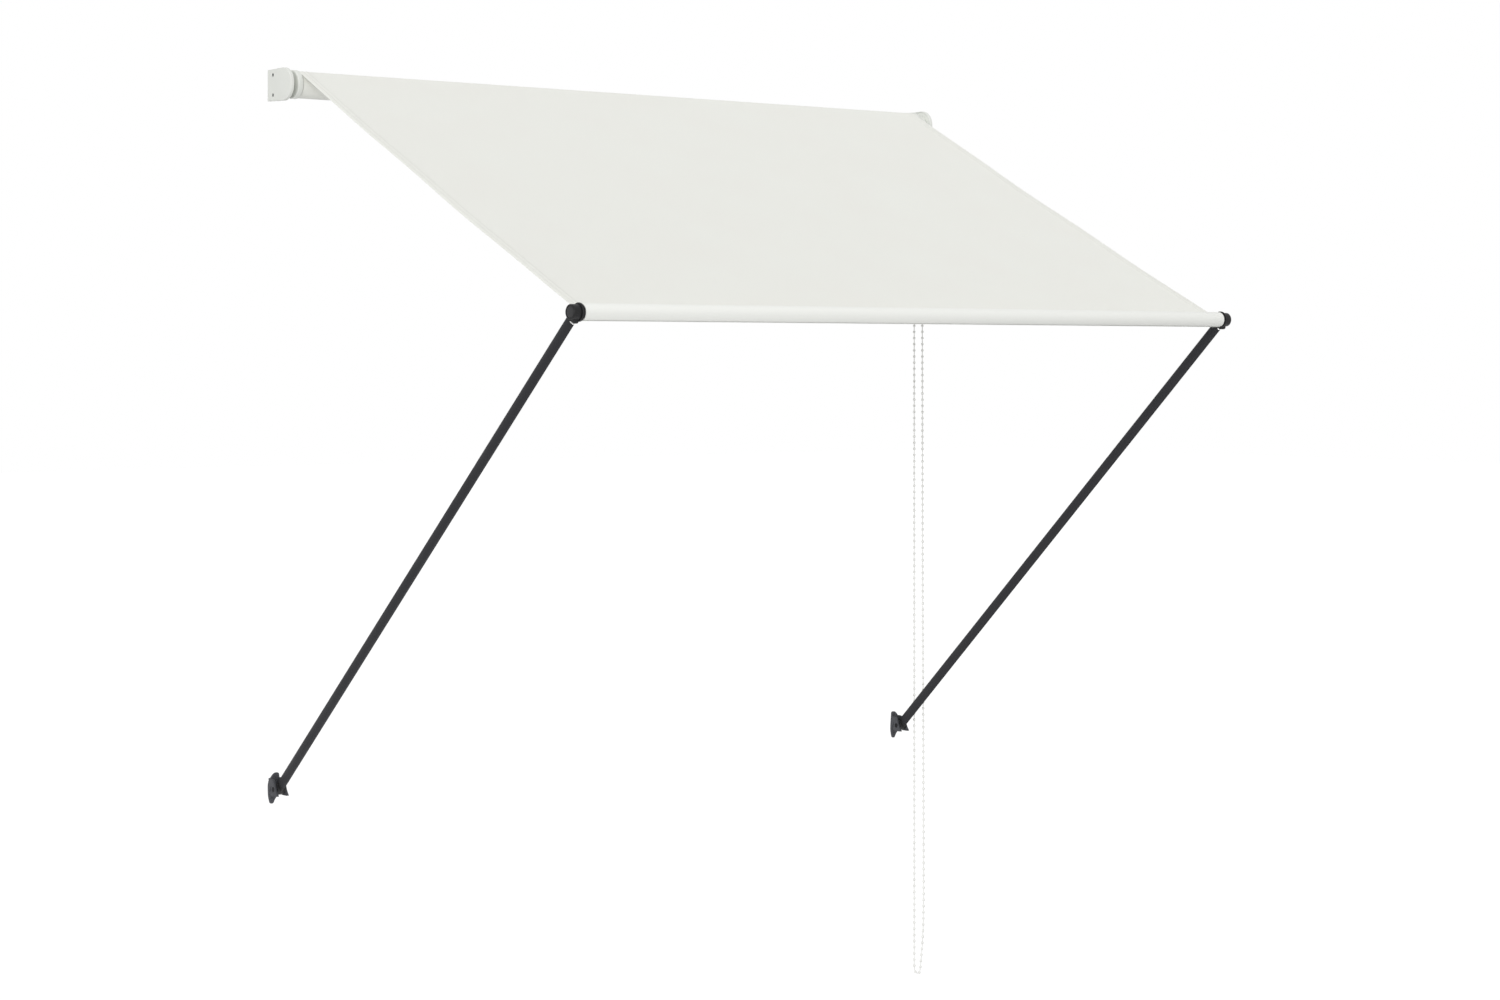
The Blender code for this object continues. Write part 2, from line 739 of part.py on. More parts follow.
def stub_fastening(bar, word, side, steel):
    """The washer and screw that keep the arm's head on the stub."""
    face = arm_spacing / 2 + stub_length()
    near, far = face + running_gap, face + running_gap + washer_thickness
    hole = stub_screw_radius + running_gap
    ring = [(near, hole), (near, washer_radius), (far, washer_radius), (far, hole)]
    turned("stub_washer_" + word, [(side * x, r) for x, r in ring], steel, bar, sides=20)
    under = far + running_gap / 2
    top = under + stub_head_height
    end = face - stub_screw_depth + running_gap
    screw = [(end, 0), (end, stub_screw_radius), (under, stub_screw_radius), (under, stub_head_radius)]
    screw += [(top, stub_head_radius), (top, 0)]
    turned("stub_screw_" + word, [(side * x, r) for x, r in screw], steel, bar, sides=16)


def canopy(bar, cloth):
    """The let-out cloth with its doubled side hems, from the bar's groove to where it leaves the roll."""
    half, inner = cloth_width / 2, cloth_width / 2 - hem_width
    thin, thick = cloth_thickness / 2, hem_thickness / 2
    upper = [(-half, thick), (-inner, thick), (-inner, thin), (inner, thin), (inner, thick), (half, thick)]
    outline = [(x + cloth_centre_at_bar, z) for x, z in upper]
    outline += [(x + cloth_centre_at_bar, -z) for x, z in reversed(upper)]
    start = groove_place + welt_radius + running_gap
    shift = cloth_centre_at_roller - cloth_centre_at_bar
    prism("canopy", [outline], start, cloth_reach - leave_gap, cloth, bar, axis="Y", shift=shift)


def arm(pivot, word, side, painted, dark, pale, bright):
    """One arm in its own frame: it runs up +Z from the pivot."""
    hollow = -arm_tube_wall
    ring_top = arm_length - head_neck_end - running_gap
    ring_low = ring_top - arm_ring_width
    tube_low, tube_high = foot_neck_end + running_gap, ring_low - running_gap
    prism("arm_tube_" + word, [oval(0), oval(hollow)], tube_low, tube_high, painted, pivot, axis="Z")
    prism("arm_ring_" + word, [oval(arm_ring_step), oval(hollow)], ring_low, ring_top, bright, pivot, axis="Z")
    arm_head(pivot, word, side, dark)
    low = head_outside - cap_thickness
    top = head_outside
    cap = [(low, 0), (low, cap_radius), (top - cap_dome, cap_radius), (top - 0.2 * mm, 0.7 * cap_radius), (top, 0)]
    turned("head_cap_" + word, [(side * x, r) for x, r in cap], pale, pivot, sides=32, centre=(0, arm_length))
    arm_foot(pivot, word, dark)


def neck(name, low, high, spigot_end, surface, parent):
    """An oval shaft between low and high, with a spigot from there on that fits the arm's tube."""
    shaft = prism(name, [oval(-neck_step)], *sorted((low, high)), surface, parent, axis="Z")
    overlap = math.copysign(1 * mm, low - high)
    ends = sorted((high + overlap, spigot_end))
    fit = oval(-arm_tube_wall - running_gap)
    return combine(shaft, prism(name + "_spigot", [fit], *ends, surface, parent, axis="Z"), "UNION")


def arm_head(pivot, word, side, dark):
    """The round head that turns on the bar's stub, its neck down to the tube and the lug that stands below it."""
    head_z = arm_length
    bore = stub_radius + running_gap
    stub_face = stub_length() + running_gap / 2
    seat = cap_radius + running_gap
    seat_floor = head_outside - cap_thickness - running_gap
    well = washer_radius + running_gap
    profile = [
        (-head_inside, bore),
        (-head_inside, head_radius - head_edge / 2),
        (-head_inside + head_edge / 2, head_radius),
        (head_outside - head_edge, head_radius),
        (head_outside, head_radius - head_edge),
        (head_outside, seat),
        (seat_floor, seat),
        (seat_floor, well),
        (stub_face, well),
        (stub_face, bore),
    ]
    profile = [(side * x, r) for x, r in profile]
    head = turned("arm_head_" + word, profile, dark, pivot, sides=32, centre=(0, head_z))
    low = head_z - head_neck_end
    neck_solid = neck(head.name + "_neck", head_z - head_radius + 1.5 * mm, low, low - arm_spigot_length, dark, pivot)
    clear = bar_flange_radius + 2 * running_gap
    inner, beyond = -side * (head_inside - 0.1 * mm), -side * 4 * head_inside
    room = [(inner, 0), (inner, clear), (beyond, clear), (beyond, 0)]
    combine(neck_solid, turned(head.name + "_room", room, dark, pivot, sides=32, centre=(0, head_z)), "DIFFERENCE")
    combine(head, neck_solid, "UNION")
    ends = sorted((-side * lug_inside, side * lug_outside))
    combine(head, prism(head.name + "_lug", [lug_outline()], *ends, dark, pivot), "UNION")


def lug_outline():
    """The lug below the head in the arm's Y and Z: it hangs straight down when the awning is out, with a round end."""
    down = math.atan2(-math.cos(arm_lean), -math.sin(arm_lean))
    reach = lug_reach - lug_half_width
    tip = (reach * math.cos(down), arm_length + reach * math.sin(down))
    inner = (0.75 * head_radius * math.cos(down), arm_length + 0.75 * head_radius * math.sin(down))
    across = (lug_half_width * math.sin(down), -lug_half_width * math.cos(down))
    outline = [(inner[0] + across[0], inner[1] + across[1])]
    outline += arc(tip, lug_half_width, down - math.pi / 2, down + math.pi / 2, 8)
    return outline + [(inner[0] - across[0], inner[1] - across[1])]


def arm_foot(pivot, word, dark):
    """The eye at the arm's lower end, with a spigot up into the tube."""
    half = foot_width / 2 - cheek_thickness - running_gap
    bore = pivot_pin_radius + running_gap
    eye = [(-half, 0), (-half, foot_eye_radius), (half, foot_eye_radius), (half, 0)]
    foot = turned("arm_foot_" + word, eye, dark, pivot, sides=24)
    shaft = neck(foot.name + "_neck", 1 * mm, foot_neck_end, foot_neck_end + arm_spigot_length, dark, pivot)
    combine(foot, shaft, "UNION")
    hole = [(-2 * half, 0), (-2 * half, bore), (2 * half, bore), (2 * half, 0)]
    combine(foot, turned(foot.name + "_bore", hole, dark, pivot, sides=20), "DIFFERENCE")


def foot_plate_outline(side):
    """The wall plate of a foot bracket in X and Z. Its upper ear lies towards the middle of the awning and slopes on
    the outside. Its lower ear lies to the left on both brackets."""
    half, tall = foot_width / 2, foot_half_height
    lower = [
        (-half, -0.2 * tall),
        (-0.95 * half, -0.55 * tall),
        (-0.7 * half, -tall),
        (-0.2 * half, -tall),
        (0.1 * half, -0.72 * tall),
        (0.5 * half, -0.52 * tall),
        (0.85 * half, -0.35 * tall),
        (half, -0.1 * tall),
    ]
    outside = [(half, 0.25 * tall), (0.85 * half, 0.55 * tall), (0, tall)]
    inside = [(-0.78 * half, tall), (-0.85 * half, 0.6 * tall)]
    upper = outside + inside
    if side == left:
        upper = [(-x, z) for x, z in reversed(upper)]
    return rounded(lower + upper, 2)


def cheek_outline():
    """A cheek of a foot bracket in Y and Z from its pivot, with a toe at its lower front corner."""
    back = pivot_from_wall - foot_plate + 1 * mm
    top, bottom = foot_cheek_top, foot_cheek_bottom
    front, toe = foot_cheek_front, foot_toe
    corners = [
        (back, top),
        (0.3 * back, top),
        (-0.35 * front, 0.75 * top),
        (-0.65 * front, 0.3 * top),
        (-1.1 * front, -0.25 * bottom),
        (-toe, -0.88 * bottom),
        (-toe, -bottom),
        (0.3 * back, -bottom),
        (0.5 * back, -0.78 * bottom),
        (0.7 * back, -bottom),
        (back, -bottom),
    ]
    return [corners[0]] + rounded(corners[1:-1], 2) + [corners[-1]]


def foot_bracket(pivot_frame, word, side, dark, blackened):
    """The wall bracket that an arm pivots in, in a frame at the pivot that doesn't lean."""
    back, front = pivot_from_wall, pivot_from_wall - foot_plate
    spots = [(-foot_screw_offset, -foot_screw_height), (-side * foot_screw_offset, foot_screw_height)]
    holes = [circle(spot, wall_screw_radius, 16) for spot in spots]
    plate = prism("foot_bracket_" + word, [foot_plate_outline(side)] + holes, front, back, dark, pivot_frame, axis="Y")
    bore = circle((0, 0), pivot_pin_radius + running_gap, 24)
    for spot in (left, right):
        inner = foot_width / 2 - cheek_thickness
        ends = sorted((spot * inner, spot * foot_width / 2))
        cheek = prism(f"{plate.name}_cheek_{spot}", [cheek_outline(), bore], *ends, dark, pivot_frame)
        combine(plate, cheek, "UNION")
    half = foot_width / 2
    pin = [(-half, 0), (-half, pivot_pin_radius), (half, pivot_pin_radius), (half, 0)]
    turned("pivot_pin_" + word, pin, blackened, pivot_frame, sides=24)


def main():
    clear_scene()
    bpy.context.scene.unit_settings.system = "METRIC"
    cloth = finish("awning_cloth", "E8E9E3", 0.9)
    bar_paint = finish("bar_white_paint", "E8E9E4", 0.35)
    bracket_plastic = finish("bracket_off_white", "DFE1DC", 0.45)
    arm_paint = finish("arm_anthracite_paint", "484848", 0.45)
    foot_plastic = finish("foot_dark_grey", "414246", 0.5)
    head_black = finish("head_black_plastic", "303030", 0.5)
    cap_grey = finish("cap_dark_grey", "3C3C3C", 0.4)
    steel = finish("zinc_steel", "9A9C9E", 0.4, 0.9)
    black_steel = finish("pin_black_oxide", "2C2C2E", 0.45, 0.9)
    bright = finish("ring_bright", "F2F2F0", 0.3)
    chain_plastic = finish("chain_white", "DADADA", 0.4)
    tube_steel = finish("galvanised_tube", "A8ABAD", 0.45, 0.9)

    frame = empty("wall_frame", None, (0, 0, 0))
    roller_axis = empty("roller_axis", frame, (0, -roller_from_wall, 0))
    roller_brackets(frame, bracket_plastic, steel)
    roller(roller_axis, tube_steel, bracket_plastic, cloth)
    chain_drive(frame, steel, bracket_plastic)
    chain(frame, chain_plastic)

    for word, side in (("left", left), ("right", right)):
        at = (arm_place[side], -pivot_from_wall, -roller_above_pivot)
        upright = empty(f"foot_{word}_place", frame, at)
        foot_bracket(upright, word, side, foot_plastic, black_steel)
        pivot = empty(f"arm_{word}_pivot", upright, (0, 0, 0), arm_lean)
        arm(pivot, word, side, arm_paint, head_black, cap_grey, bright)
        if side == left:
            bar = empty("bar_axis", pivot, (arm_spacing / 2, 0, arm_length), cloth_slope - arm_lean)
    front_bar(bar, bar_paint, chain_plastic, steel, head_black)
    canopy(bar, cloth)


main()
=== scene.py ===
import math

import bmesh
import bpy
from mathutils import Matrix, Vector


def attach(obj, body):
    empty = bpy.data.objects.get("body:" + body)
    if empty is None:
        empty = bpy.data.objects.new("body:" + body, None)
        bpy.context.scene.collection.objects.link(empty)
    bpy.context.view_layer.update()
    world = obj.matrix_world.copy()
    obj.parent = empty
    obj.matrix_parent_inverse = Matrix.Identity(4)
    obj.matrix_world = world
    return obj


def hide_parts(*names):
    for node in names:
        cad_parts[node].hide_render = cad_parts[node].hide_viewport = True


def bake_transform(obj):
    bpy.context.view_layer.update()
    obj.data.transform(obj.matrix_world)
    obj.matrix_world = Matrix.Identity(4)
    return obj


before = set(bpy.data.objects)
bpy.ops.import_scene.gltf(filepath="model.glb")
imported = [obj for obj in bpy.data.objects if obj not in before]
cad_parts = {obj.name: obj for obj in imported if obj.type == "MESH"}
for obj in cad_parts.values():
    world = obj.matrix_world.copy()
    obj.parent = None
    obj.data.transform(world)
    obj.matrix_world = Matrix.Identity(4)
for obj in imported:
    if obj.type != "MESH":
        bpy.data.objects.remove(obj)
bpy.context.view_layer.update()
mm = 0.001


def in_scene(name, data):
    """An object of this data, linked into the scene."""
    made = bpy.data.objects.new(name, data)
    bpy.context.scene.collection.objects.link(made)
    return made


# Camera, set where the photograph was taken from
view = bpy.data.cameras.new("photograph_view")
view.sensor_fit = "HORIZONTAL"
view.sensor_width = 36
view.lens = 73.89
view.shift_y = -0.0949
view.clip_end = 300
camera = in_scene("photograph_view", view)
camera.location = (-3.5476, -4.7092, -0.4779)
camera.rotation_euler = (math.radians(90), 0, math.radians(-39.62))
bpy.context.scene.camera = camera

# Sizes of the awning, the same as the solids have
arm_spacing = 1476 * mm
arm_length = 1206 * mm
arm_lean = math.radians(46.7)
roller_above_pivot = 1235 * mm
roller_from_wall = 50 * mm
pivot_from_wall = 18.5 * mm
gap = 0.3 * mm

cloth_width = 1460 * mm
cloth_thickness = 0.5 * mm
hem_width = 18 * mm
hem_thickness = 0.9 * mm
cloth_centre_at_roller = 8 * mm
cloth_centre_at_bar = -1 * mm
roll_radius = 23.8 * mm
tube_radius = 22 * mm
tube_wall = 1.5 * mm
plug_flange_radius = 25.2 * mm
idle_pin_radius = 4 * mm
idle_pin_length = 44 * mm
idle_boss_radius = 11 * mm
spring_space_depth = 38 * mm
spring_space_radius = 9.5 * mm
drive_plug_wall = 3 * mm
idle_flange_width = 10 * mm
drive_flange_width = 6 * mm
plug_spigot_length = 34 * mm

nose_radius = 29 * mm
cover_taper = 1.7 * mm
cover_depth = 7 * mm
cover_wall = 2.4 * mm
web_thickness = 4 * mm
flange_thickness = 3.5 * mm
flange_width = 26 * mm
flange_half_height = 21.6 * mm
wall_screw_radius = 2.3 * mm
wall_screw_spacing = 30 * mm
cover_screw_from_wall = 17.5 * mm
cover_screw_height = 17.7 * mm
screw_shank_radius = 1.4 * mm
screw_head_radius = 2.7 * mm
screw_head_height = 1 * mm
screw_head_sink = 0.5 * mm
screw_length = 11 * mm
screw_heights = (-cover_screw_height, cover_screw_height)
screw_boss_radius = 4 * mm
screw_boss_length = 5 * mm

chain_pitch_radius = 12.1 * mm
wheel_chain_radius = 2.6 * mm
rim_radius = 15.6 * mm
rim_width = 1.2 * mm
groove_bottom_radius = 9.2 * mm
pocket_radius = 3.2 * mm
neck_radius = 10 * mm
wheel_seat_depth = 4 * mm
core_radius = 7 * mm
housing_bore_radius = 17 * mm
housing_wall = 2.2 * mm
housing_floor = 1.7 * mm
chain_gate_top = 8 * mm

bar_radius = 13.75 * mm
bar_wall = 1.4 * mm
groove_radius = 3.3 * mm
groove_lip = 1.2 * mm
groove_wall = 1.2 * mm
slot_width = 2.8 * mm
valance_groove_angle = math.radians(-137)
welt_radius = 2.9 * mm
bar_flange_radius = 15 * mm
bar_flange_width = 3.7 * mm
bar_shoulder_width = 2.8 * mm
bar_shoulder_radius = 12 * mm
bar_spigot_length = 30 * mm
stub_radius = 4 * mm
stub_screw_radius = 2 * mm
stub_screw_depth = 8 * mm
stub_head_height = 1.5 * mm
washer_thickness = 1 * mm

# The arm's oval tube: its section's radii here are the deep ones, in the plane of the swing
arm_tube_radius = 9.9 * mm
arm_flatness = 4.9 * mm
arm_tube_wall = 1.2 * mm
arm_spigot_length = 30 * mm
neck_step = 0.1 * mm
head_radius = 12.5 * mm
head_outside = 12 * mm
head_inside = 2.5 * mm
head_neck_end = 15.4 * mm
cap_radius = 9 * mm
cap_thickness = 2.4 * mm
washer_radius = 6.5 * mm
ring_radius = 10 * mm
ring_width = 2 * mm
lug_reach = 17.8 * mm
lug_half_width = 4.2 * mm
lug_inside = 2.3 * mm
lug_outside = 5 * mm
foot_eye_radius = 10.1 * mm
foot_neck_end = 14 * mm

foot_width = 24 * mm
foot_plate = 4 * mm
foot_half_height = 27 * mm
cheek_thickness = 4 * mm
pivot_pin_radius = 4 * mm
foot_screw_height = 18.5 * mm
foot_screw_offset = 4.5 * mm
cheek_top = 18.5 * mm
cheek_bottom = 11.8 * mm
cheek_front = 7.7 * mm
cheek_toe = 13.9 * mm

left, right = -1, 1
both_sides = (("left", left), ("right", right))
groove_place = bar_radius - groove_lip - groove_radius
bar_y = -pivot_from_wall - arm_length * math.sin(arm_lean)
bar_z = -roller_above_pivot + arm_length * math.cos(arm_lean)
bar_half = arm_spacing / 2 - head_inside - gap - bar_flange_width - gap
bar_end = bar_half - bar_shoulder_width
roll_left = cloth_centre_at_roller - cloth_width / 2
roll_right = cloth_centre_at_roller + cloth_width / 2
outer_face = {left: -750 * mm, right: 772 * mm}
cover_inner = cover_wall + gap
web_end = cover_inner + web_thickness
stub_reach = head_outside - cap_thickness - 2 * gap - stub_head_height - washer_thickness - 2 * gap
arm_spigot_radius = arm_tube_radius - arm_tube_wall - gap
chain_x = 758.9 * mm

# Where the free chain runs: (Y, Z) from the front strand down, round the low end and up the back strand
chain_route = [
    (-62.1, -20),
    (-62.3, -400),
    (-63.5, -900),
    (-65.5, -1300),
    (-66.5, -1540),
    (-66.0, -1610),
    (-64.0, -1660),
    (-61.0, -1694),
    (-58.6, -1714),
    (-57.0, -1727),
    (-55.9, -1735.5),
    (-53.4, -1742),
    (-47.4, -1744.9),
    (-41.2, -1742.4),
    (-38.5, -1736),
    (-38.0, -1727.5),
    (-37.9, -1714),
    (-37.9, -1690),
    (-37.9, -1600),
    (-37.9, -1200),
    (-37.9, -600),
    (-37.9, -20),
]
bead_pitch = 12.67 * mm
bead_radius = 2.75 * mm
bead_stretch = 1.12
string_radius = 0.95 * mm


# Colour and surfaces
def linear(code):
    """An sRGB hex colour as the linear one that a shader takes."""
    parts = [int(code[i : i + 2], 16) / 255 for i in (0, 2, 4)]
    return [c / 12.92 if c <= 0.04045 else ((c + 0.055) / 1.055) ** 2.4 for c in parts] + [1]


def add_node(tree, kind, inputs=(), **settings):
    """Adds one node. Its inputs are values, or sockets to link, by name or place."""
    made = tree.nodes.new(kind)
    for name, value in settings.items():
        setattr(made, name, value)
    for place, value in dict(inputs).items():
        if isinstance(value, bpy.types.NodeSocket):
            tree.links.new(value, made.inputs[place])
        else:
            made.inputs[place].default_value = value
    return made


def surface(name, colour, roughness, **sockets):
    """A material on a Principled shader, with the sockets that stay the same all over set here."""
    made = bpy.data.materials.new(name)
    made.use_nodes = True
    shader = made.node_tree.nodes["Principled BSDF"]
    shader.inputs["Base Color"].default_value = linear(colour)
    shader.inputs["Roughness"].default_value = roughness
    for place, value in sockets.items():
        shader.inputs[place.replace("_", " ")].default_value = value
    return made, made.node_tree, shader


def mottled(tree, shader, place, size, colours, rough, depth, stretch=(1, 1, 1)):
    """Colour, roughness and bump that vary together over patches of one size, in metres."""
    spread = add_node(tree, "ShaderNodeMapping", {"Vector": place, "Scale": stretch}).outputs[0]
    noise = add_node(tree, "ShaderNodeTexNoise", {"Vector": spread, "Scale": 1 / size, "Detail": 4.0})
    patches = noise.outputs[0]
    mixed = {0: patches, 6: linear(colours[0]), 7: linear(colours[1])}
    shade = add_node(tree, "ShaderNodeMix", mixed, data_type="RGBA")
    dulled = {0: patches, 1: 0.3, 2: 0.7, 3: rough[0], 4: rough[1]}
    range_of = add_node(tree, "ShaderNodeMapRange", dulled)
    bump = add_node(tree, "ShaderNodeBump", {"Height": patches, "Distance": depth, "Strength": 1.0})
    tree.links.new(shade.outputs[2], shader.inputs["Base Color"])
    tree.links.new(range_of.outputs[0], shader.inputs["Roughness"])
    tree.links.new(bump.outputs[0], shader.inputs["Normal"])
    return bump.outputs[0]


def moulded(name, colours, rough, grain, depth, **sockets):
    """A moulded or coated finish: fine grain in one bump, and broad patches in the colour."""
    made, tree, shader = surface(name, colours[0], rough[0], **sockets)
    place = add_node(tree, "ShaderNodeTexCoord").outputs["Object"]
    broad = mottled(tree, shader, place, 40 * mm, colours, rough, 0.02 * mm)
    fine = add_node(tree, "ShaderNodeTexNoise", {"Vector": place, "Scale": 1 / grain, "Detail": 2.0})
    raised = {"Height": fine.outputs[0], "Distance": depth, "Strength": 1.0, "Normal": broad}
    both = add_node(tree, "ShaderNodeBump", raised)
    tree.links.new(both.outputs[0], shader.inputs["Normal"])
    return made


def canvas():
    """Woven polyester canvas: a matt off-white cloth, whose plain weave breaks up the light and gives a
    slight bloom at flat angles. Its threads lie 0.45 mm apart and are drawn 1.5 mm apart, to show."""
    soft = {"Sheen_Weight": 0.12, "Sheen_Roughness": 0.5, "Specular_IOR_Level": 0.25}
    made, tree, shader = surface("woven_polyester_canvas", "EEEEE9", 0.85, **soft)
    thread = 1.5 * mm
    place = add_node(tree, "ShaderNodeUVMap", uv_map="cloth").outputs[0]
    wobble = add_node(tree, "ShaderNodeTexNoise", {"Vector": place, "Scale": 90.0, "Detail": 2.0})
    moved = {0: wobble.outputs[1], 1: (0.25 * thread,) * 3, 2: place}
    shifted = add_node(tree, "ShaderNodeVectorMath", moved, operation="MULTIPLY_ADD").outputs[0]
    # A wave's bands repeat every 0.314 of a unit at scale 1
    wave_scale = 0.31416 / thread
    waves = {"Vector": shifted, "Scale": wave_scale}
    warp = add_node(tree, "ShaderNodeTexWave", waves, bands_direction="X").outputs["Fac"]
    weft = add_node(tree, "ShaderNodeTexWave", waves, bands_direction="Y").outputs["Fac"]
    checks = add_node(tree, "ShaderNodeTexChecker", {"Vector": shifted, "Scale": 1 / thread}).outputs["Fac"]
    woven = add_node(tree, "ShaderNodeMix", {0: checks, 2: warp, 3: weft}).outputs[0]
    # The thread colour follows the weave's height: painted shade, darker in the grooves between threads and
    # paler on their crowns
    mixed = {0: woven, 6: linear("E6E7E1"), 7: linear("F2F3ED")}
    threads = add_node(tree, "ShaderNodeMix", mixed, data_type="RGBA").outputs[2]
    cloudy = add_node(tree, "ShaderNodeTexNoise", {"Vector": place, "Scale": 7.0, "Detail": 5.0})
    drifts = add_node(tree, "ShaderNodeMapRange", {0: cloudy.outputs[0], 1: 0.3, 2: 0.7, 3: 0.0, 4: 0.35})
    mixed = {0: drifts.outputs[0], 6: threads, 7: linear("EAE8E2")}
    toned = add_node(tree, "ShaderNodeMix", mixed, data_type="RGBA").outputs[2]
    tree.links.new(toned, shader.inputs["Base Color"])
    rough = add_node(tree, "ShaderNodeMapRange", {0: woven, 1: 0.0, 2: 1.0, 3: 0.92, 4: 0.78})
    tree.links.new(rough.outputs[0], shader.inputs["Roughness"])
    bump = add_node(tree, "ShaderNodeBump", {"Height": woven, "Distance": 0.12 * mm, "Strength": 0.8})
    tree.links.new(bump.outputs[0], shader.inputs["Normal"])
    return made


def coated_bar():
    """White powder coat on extruded aluminium: smooth and half glossy, with the faint lines that the die
    leaves along the bar and the soft orange peel of the coat."""
    made, tree, shader = surface("powder_coated_aluminium", "EDEEEA", 0.34, IOR=1.5)
    place = add_node(tree, "ShaderNodeTexCoord").outputs["Object"]
    peel = mottled(tree, shader, place, 2.5 * mm, ("EBECE7", "EFF0EC"), (0.3, 0.4), 0.03 * mm)
    along = add_node(tree, "ShaderNodeMapping", {"Vector": place, "Scale": (0.01, 1, 1)})
    lines = add_node(tree, "ShaderNodeTexNoise", {"Vector": along.outputs[0], "Scale": 700.0, "Detail": 2.0})
    raised = {"Height": lines.outputs[0], "Distance": 0.015 * mm, "Strength": 0.6, "Normal": peel}
    both = add_node(tree, "ShaderNodeBump", raised)
    tree.links.new(both.outputs[0], shader.inputs["Normal"])
    return made


def plated(name, colours, rough, size, **sockets):
    """A plated or bare metal, with the fine streaks of its last working."""
    made, tree, shader = surface(name, colours[0], rough[0], Metallic=1.0, **sockets)
    place = add_node(tree, "ShaderNodeTexCoord").outputs["Object"]
    mottled(tree, shader, place, size, colours, rough, 0.01 * mm, stretch=(1, 6, 6))
    return made


def galvanised():
    """Hot-dip galvanised steel: a dull grey with the crystal spangle of the zinc."""
    made, tree, shader = surface("galvanised_steel_tube", "A8ABAD", 0.45, Metallic=1.0)
    place = add_node(tree, "ShaderNodeTexCoord").outputs["Object"]
    cells = {"Vector": place, "Scale": 1 / (7 * mm)}
    spangle = add_node(tree, "ShaderNodeTexVoronoi", cells).outputs["Color"]
    mixed = {0: spangle, 6: linear("9DA1A3"), 7: linear("B7BABB")}
    shade = add_node(tree, "ShaderNodeMix", mixed, data_type="RGBA")
    rough = add_node(tree, "ShaderNodeMapRange", {0: spangle, 3: 0.35, 4: 0.55})
    tree.links.new(shade.outputs[2], shader.inputs["Base Color"])
    tree.links.new(rough.outputs[0], shader.inputs["Roughness"])
    return made


cloth_surface = canvas()
bar_surface = coated_bar()
# Injection-moulded ABS: off-white and satin, with the fine spark grain of its mould
abs_surface = moulded("moulded_abs", ("E1E3DE", "DADCD6"), (0.42, 0.5), 1.2 * mm, 0.03 * mm, IOR=1.54)
# Anthracite powder coat on steel tube: dark, a little glossy, with a pebbled skin
arm_surface = moulded(
    "anthracite_powder_coat", ("2F2F32", "2A2A2D"), (0.5, 0.6), 0.9 * mm, 0.03 * mm, Specular_IOR_Level=0.13
)
# Glass-filled nylon: a dark bluish grey whose fibres leave it slightly cloudy and soft in its shine
foot_surface = moulded(
    "glass_filled_nylon", ("434449", "3C3D41"), (0.48, 0.6), 0.8 * mm, 0.04 * mm, Specular_IOR_Level=0.35
)
# Black nylon: moulded smooth, so that its edges catch a thin light
black_surface = moulded(
    "black_nylon", ("1B1B1C", "202021"), (0.45, 0.55), 0.7 * mm, 0.02 * mm, Specular_IOR_Level=0.22
)
# Polypropylene cap: a shade paler than the head that it closes, and waxy
cap_surface = moulded(
    "polypropylene_cap", ("242425", "202021"), (0.38, 0.46), 1.0 * mm, 0.02 * mm, Specular_IOR_Level=0.35
)
# Acetal: smooth white beads with a soft gloss
bead_surface = moulded("acetal_beads", ("E6E6E3", "DEDEDB"), (0.3, 0.38), 1.5 * mm, 0.01 * mm, IOR=1.48)
# Zinc-plated steel: pale grey, with a faint streak from rolling
zinc_surface = plated("zinc_plated_steel", ("A4A7AA", "94979B"), (0.3, 0.42), 3 * mm)
# Cover screw steel: a dull metal, painted dark grey to stand in for the shade in the screw recesses (painted
# shade)
screw_recess_shade_surface = plated("black_chromated_steel", ("5A5C5E", "4C4E50"), (0.4, 0.52), 2 * mm)
# Black oxide on steel: nearly black, with a dull metal shine
blackened_surface = plated("black_oxide_steel", ("2C2C2E", "242426"), (0.42, 0.55), 3 * mm)
# Spring steel wire: darker and smooth
spring_surface = plated("spring_steel_wire", ("8A8A88", "7A7A79"), (0.28, 0.36), 2 * mm)
# Polished stainless trim ring: the one bright metal on the arm
ring_surface = plated("polished_stainless", ("E4E4E2", "D8D8D6"), (0.14, 0.22), 2 * mm)
# Polyester stitching thread: a shade greyer than the cloth
thread_surface = moulded("polyester_thread", ("D2D3CC", "C9CAC3"), (0.7, 0.8), 0.4 * mm, 0.05 * mm)
tube_surface = galvanised()


# Shapes
def arc(centre, radius, start, end, steps):
    """Points on an arc, both ends included."""
    turns = [start + (end - start) * i / steps for i in range(steps + 1)]
    return [(centre[0] + radius * math.cos(t), centre[1] + radius * math.sin(t)) for t in turns]


def circle(centre, radius, sides=40):
    """Points round a circle, the first one not repeated at the end."""
    return arc(centre, radius, 0, 2 * math.pi, sides)[:-1]


def corner_cut(outline, cuts):
    """The outline with its corners cut, twice as many each time."""
    for _ in range(cuts):
        cut = []
        for (u0, v0), (u1, v1) in zip(outline, outline[1:] + outline[:1]):
            cut.append((0.8 * u0 + 0.2 * u1, 0.8 * v0 + 0.2 * v1))
            cut.append((0.2 * u0 + 0.8 * u1, 0.2 * v0 + 0.8 * v1))
        outline = cut
    return outline


def softened(profile, radius, steps=4):
    """A closed profile with its corners rounded, but for those on its axis."""
    made = []
    for before, here, after in zip(profile[-1:] + profile[:-1], profile, profile[1:] + profile[:1]):
        if here[1] < 1e-7:
            made.append(here)
            continue
        back, on = Vector(before) - Vector(here), Vector(after) - Vector(here)
        reach = min(radius, 0.45 * back.length, 0.45 * on.length)
        start, end = Vector(here) + back.normalized() * reach, Vector(here) + on.normalized() * reach
        for i in range(steps + 1):
            t = i / steps
            made.append(tuple(start * (1 - t) ** 2 + Vector(here) * 2 * t * (1 - t) + end * t**2))
    return made


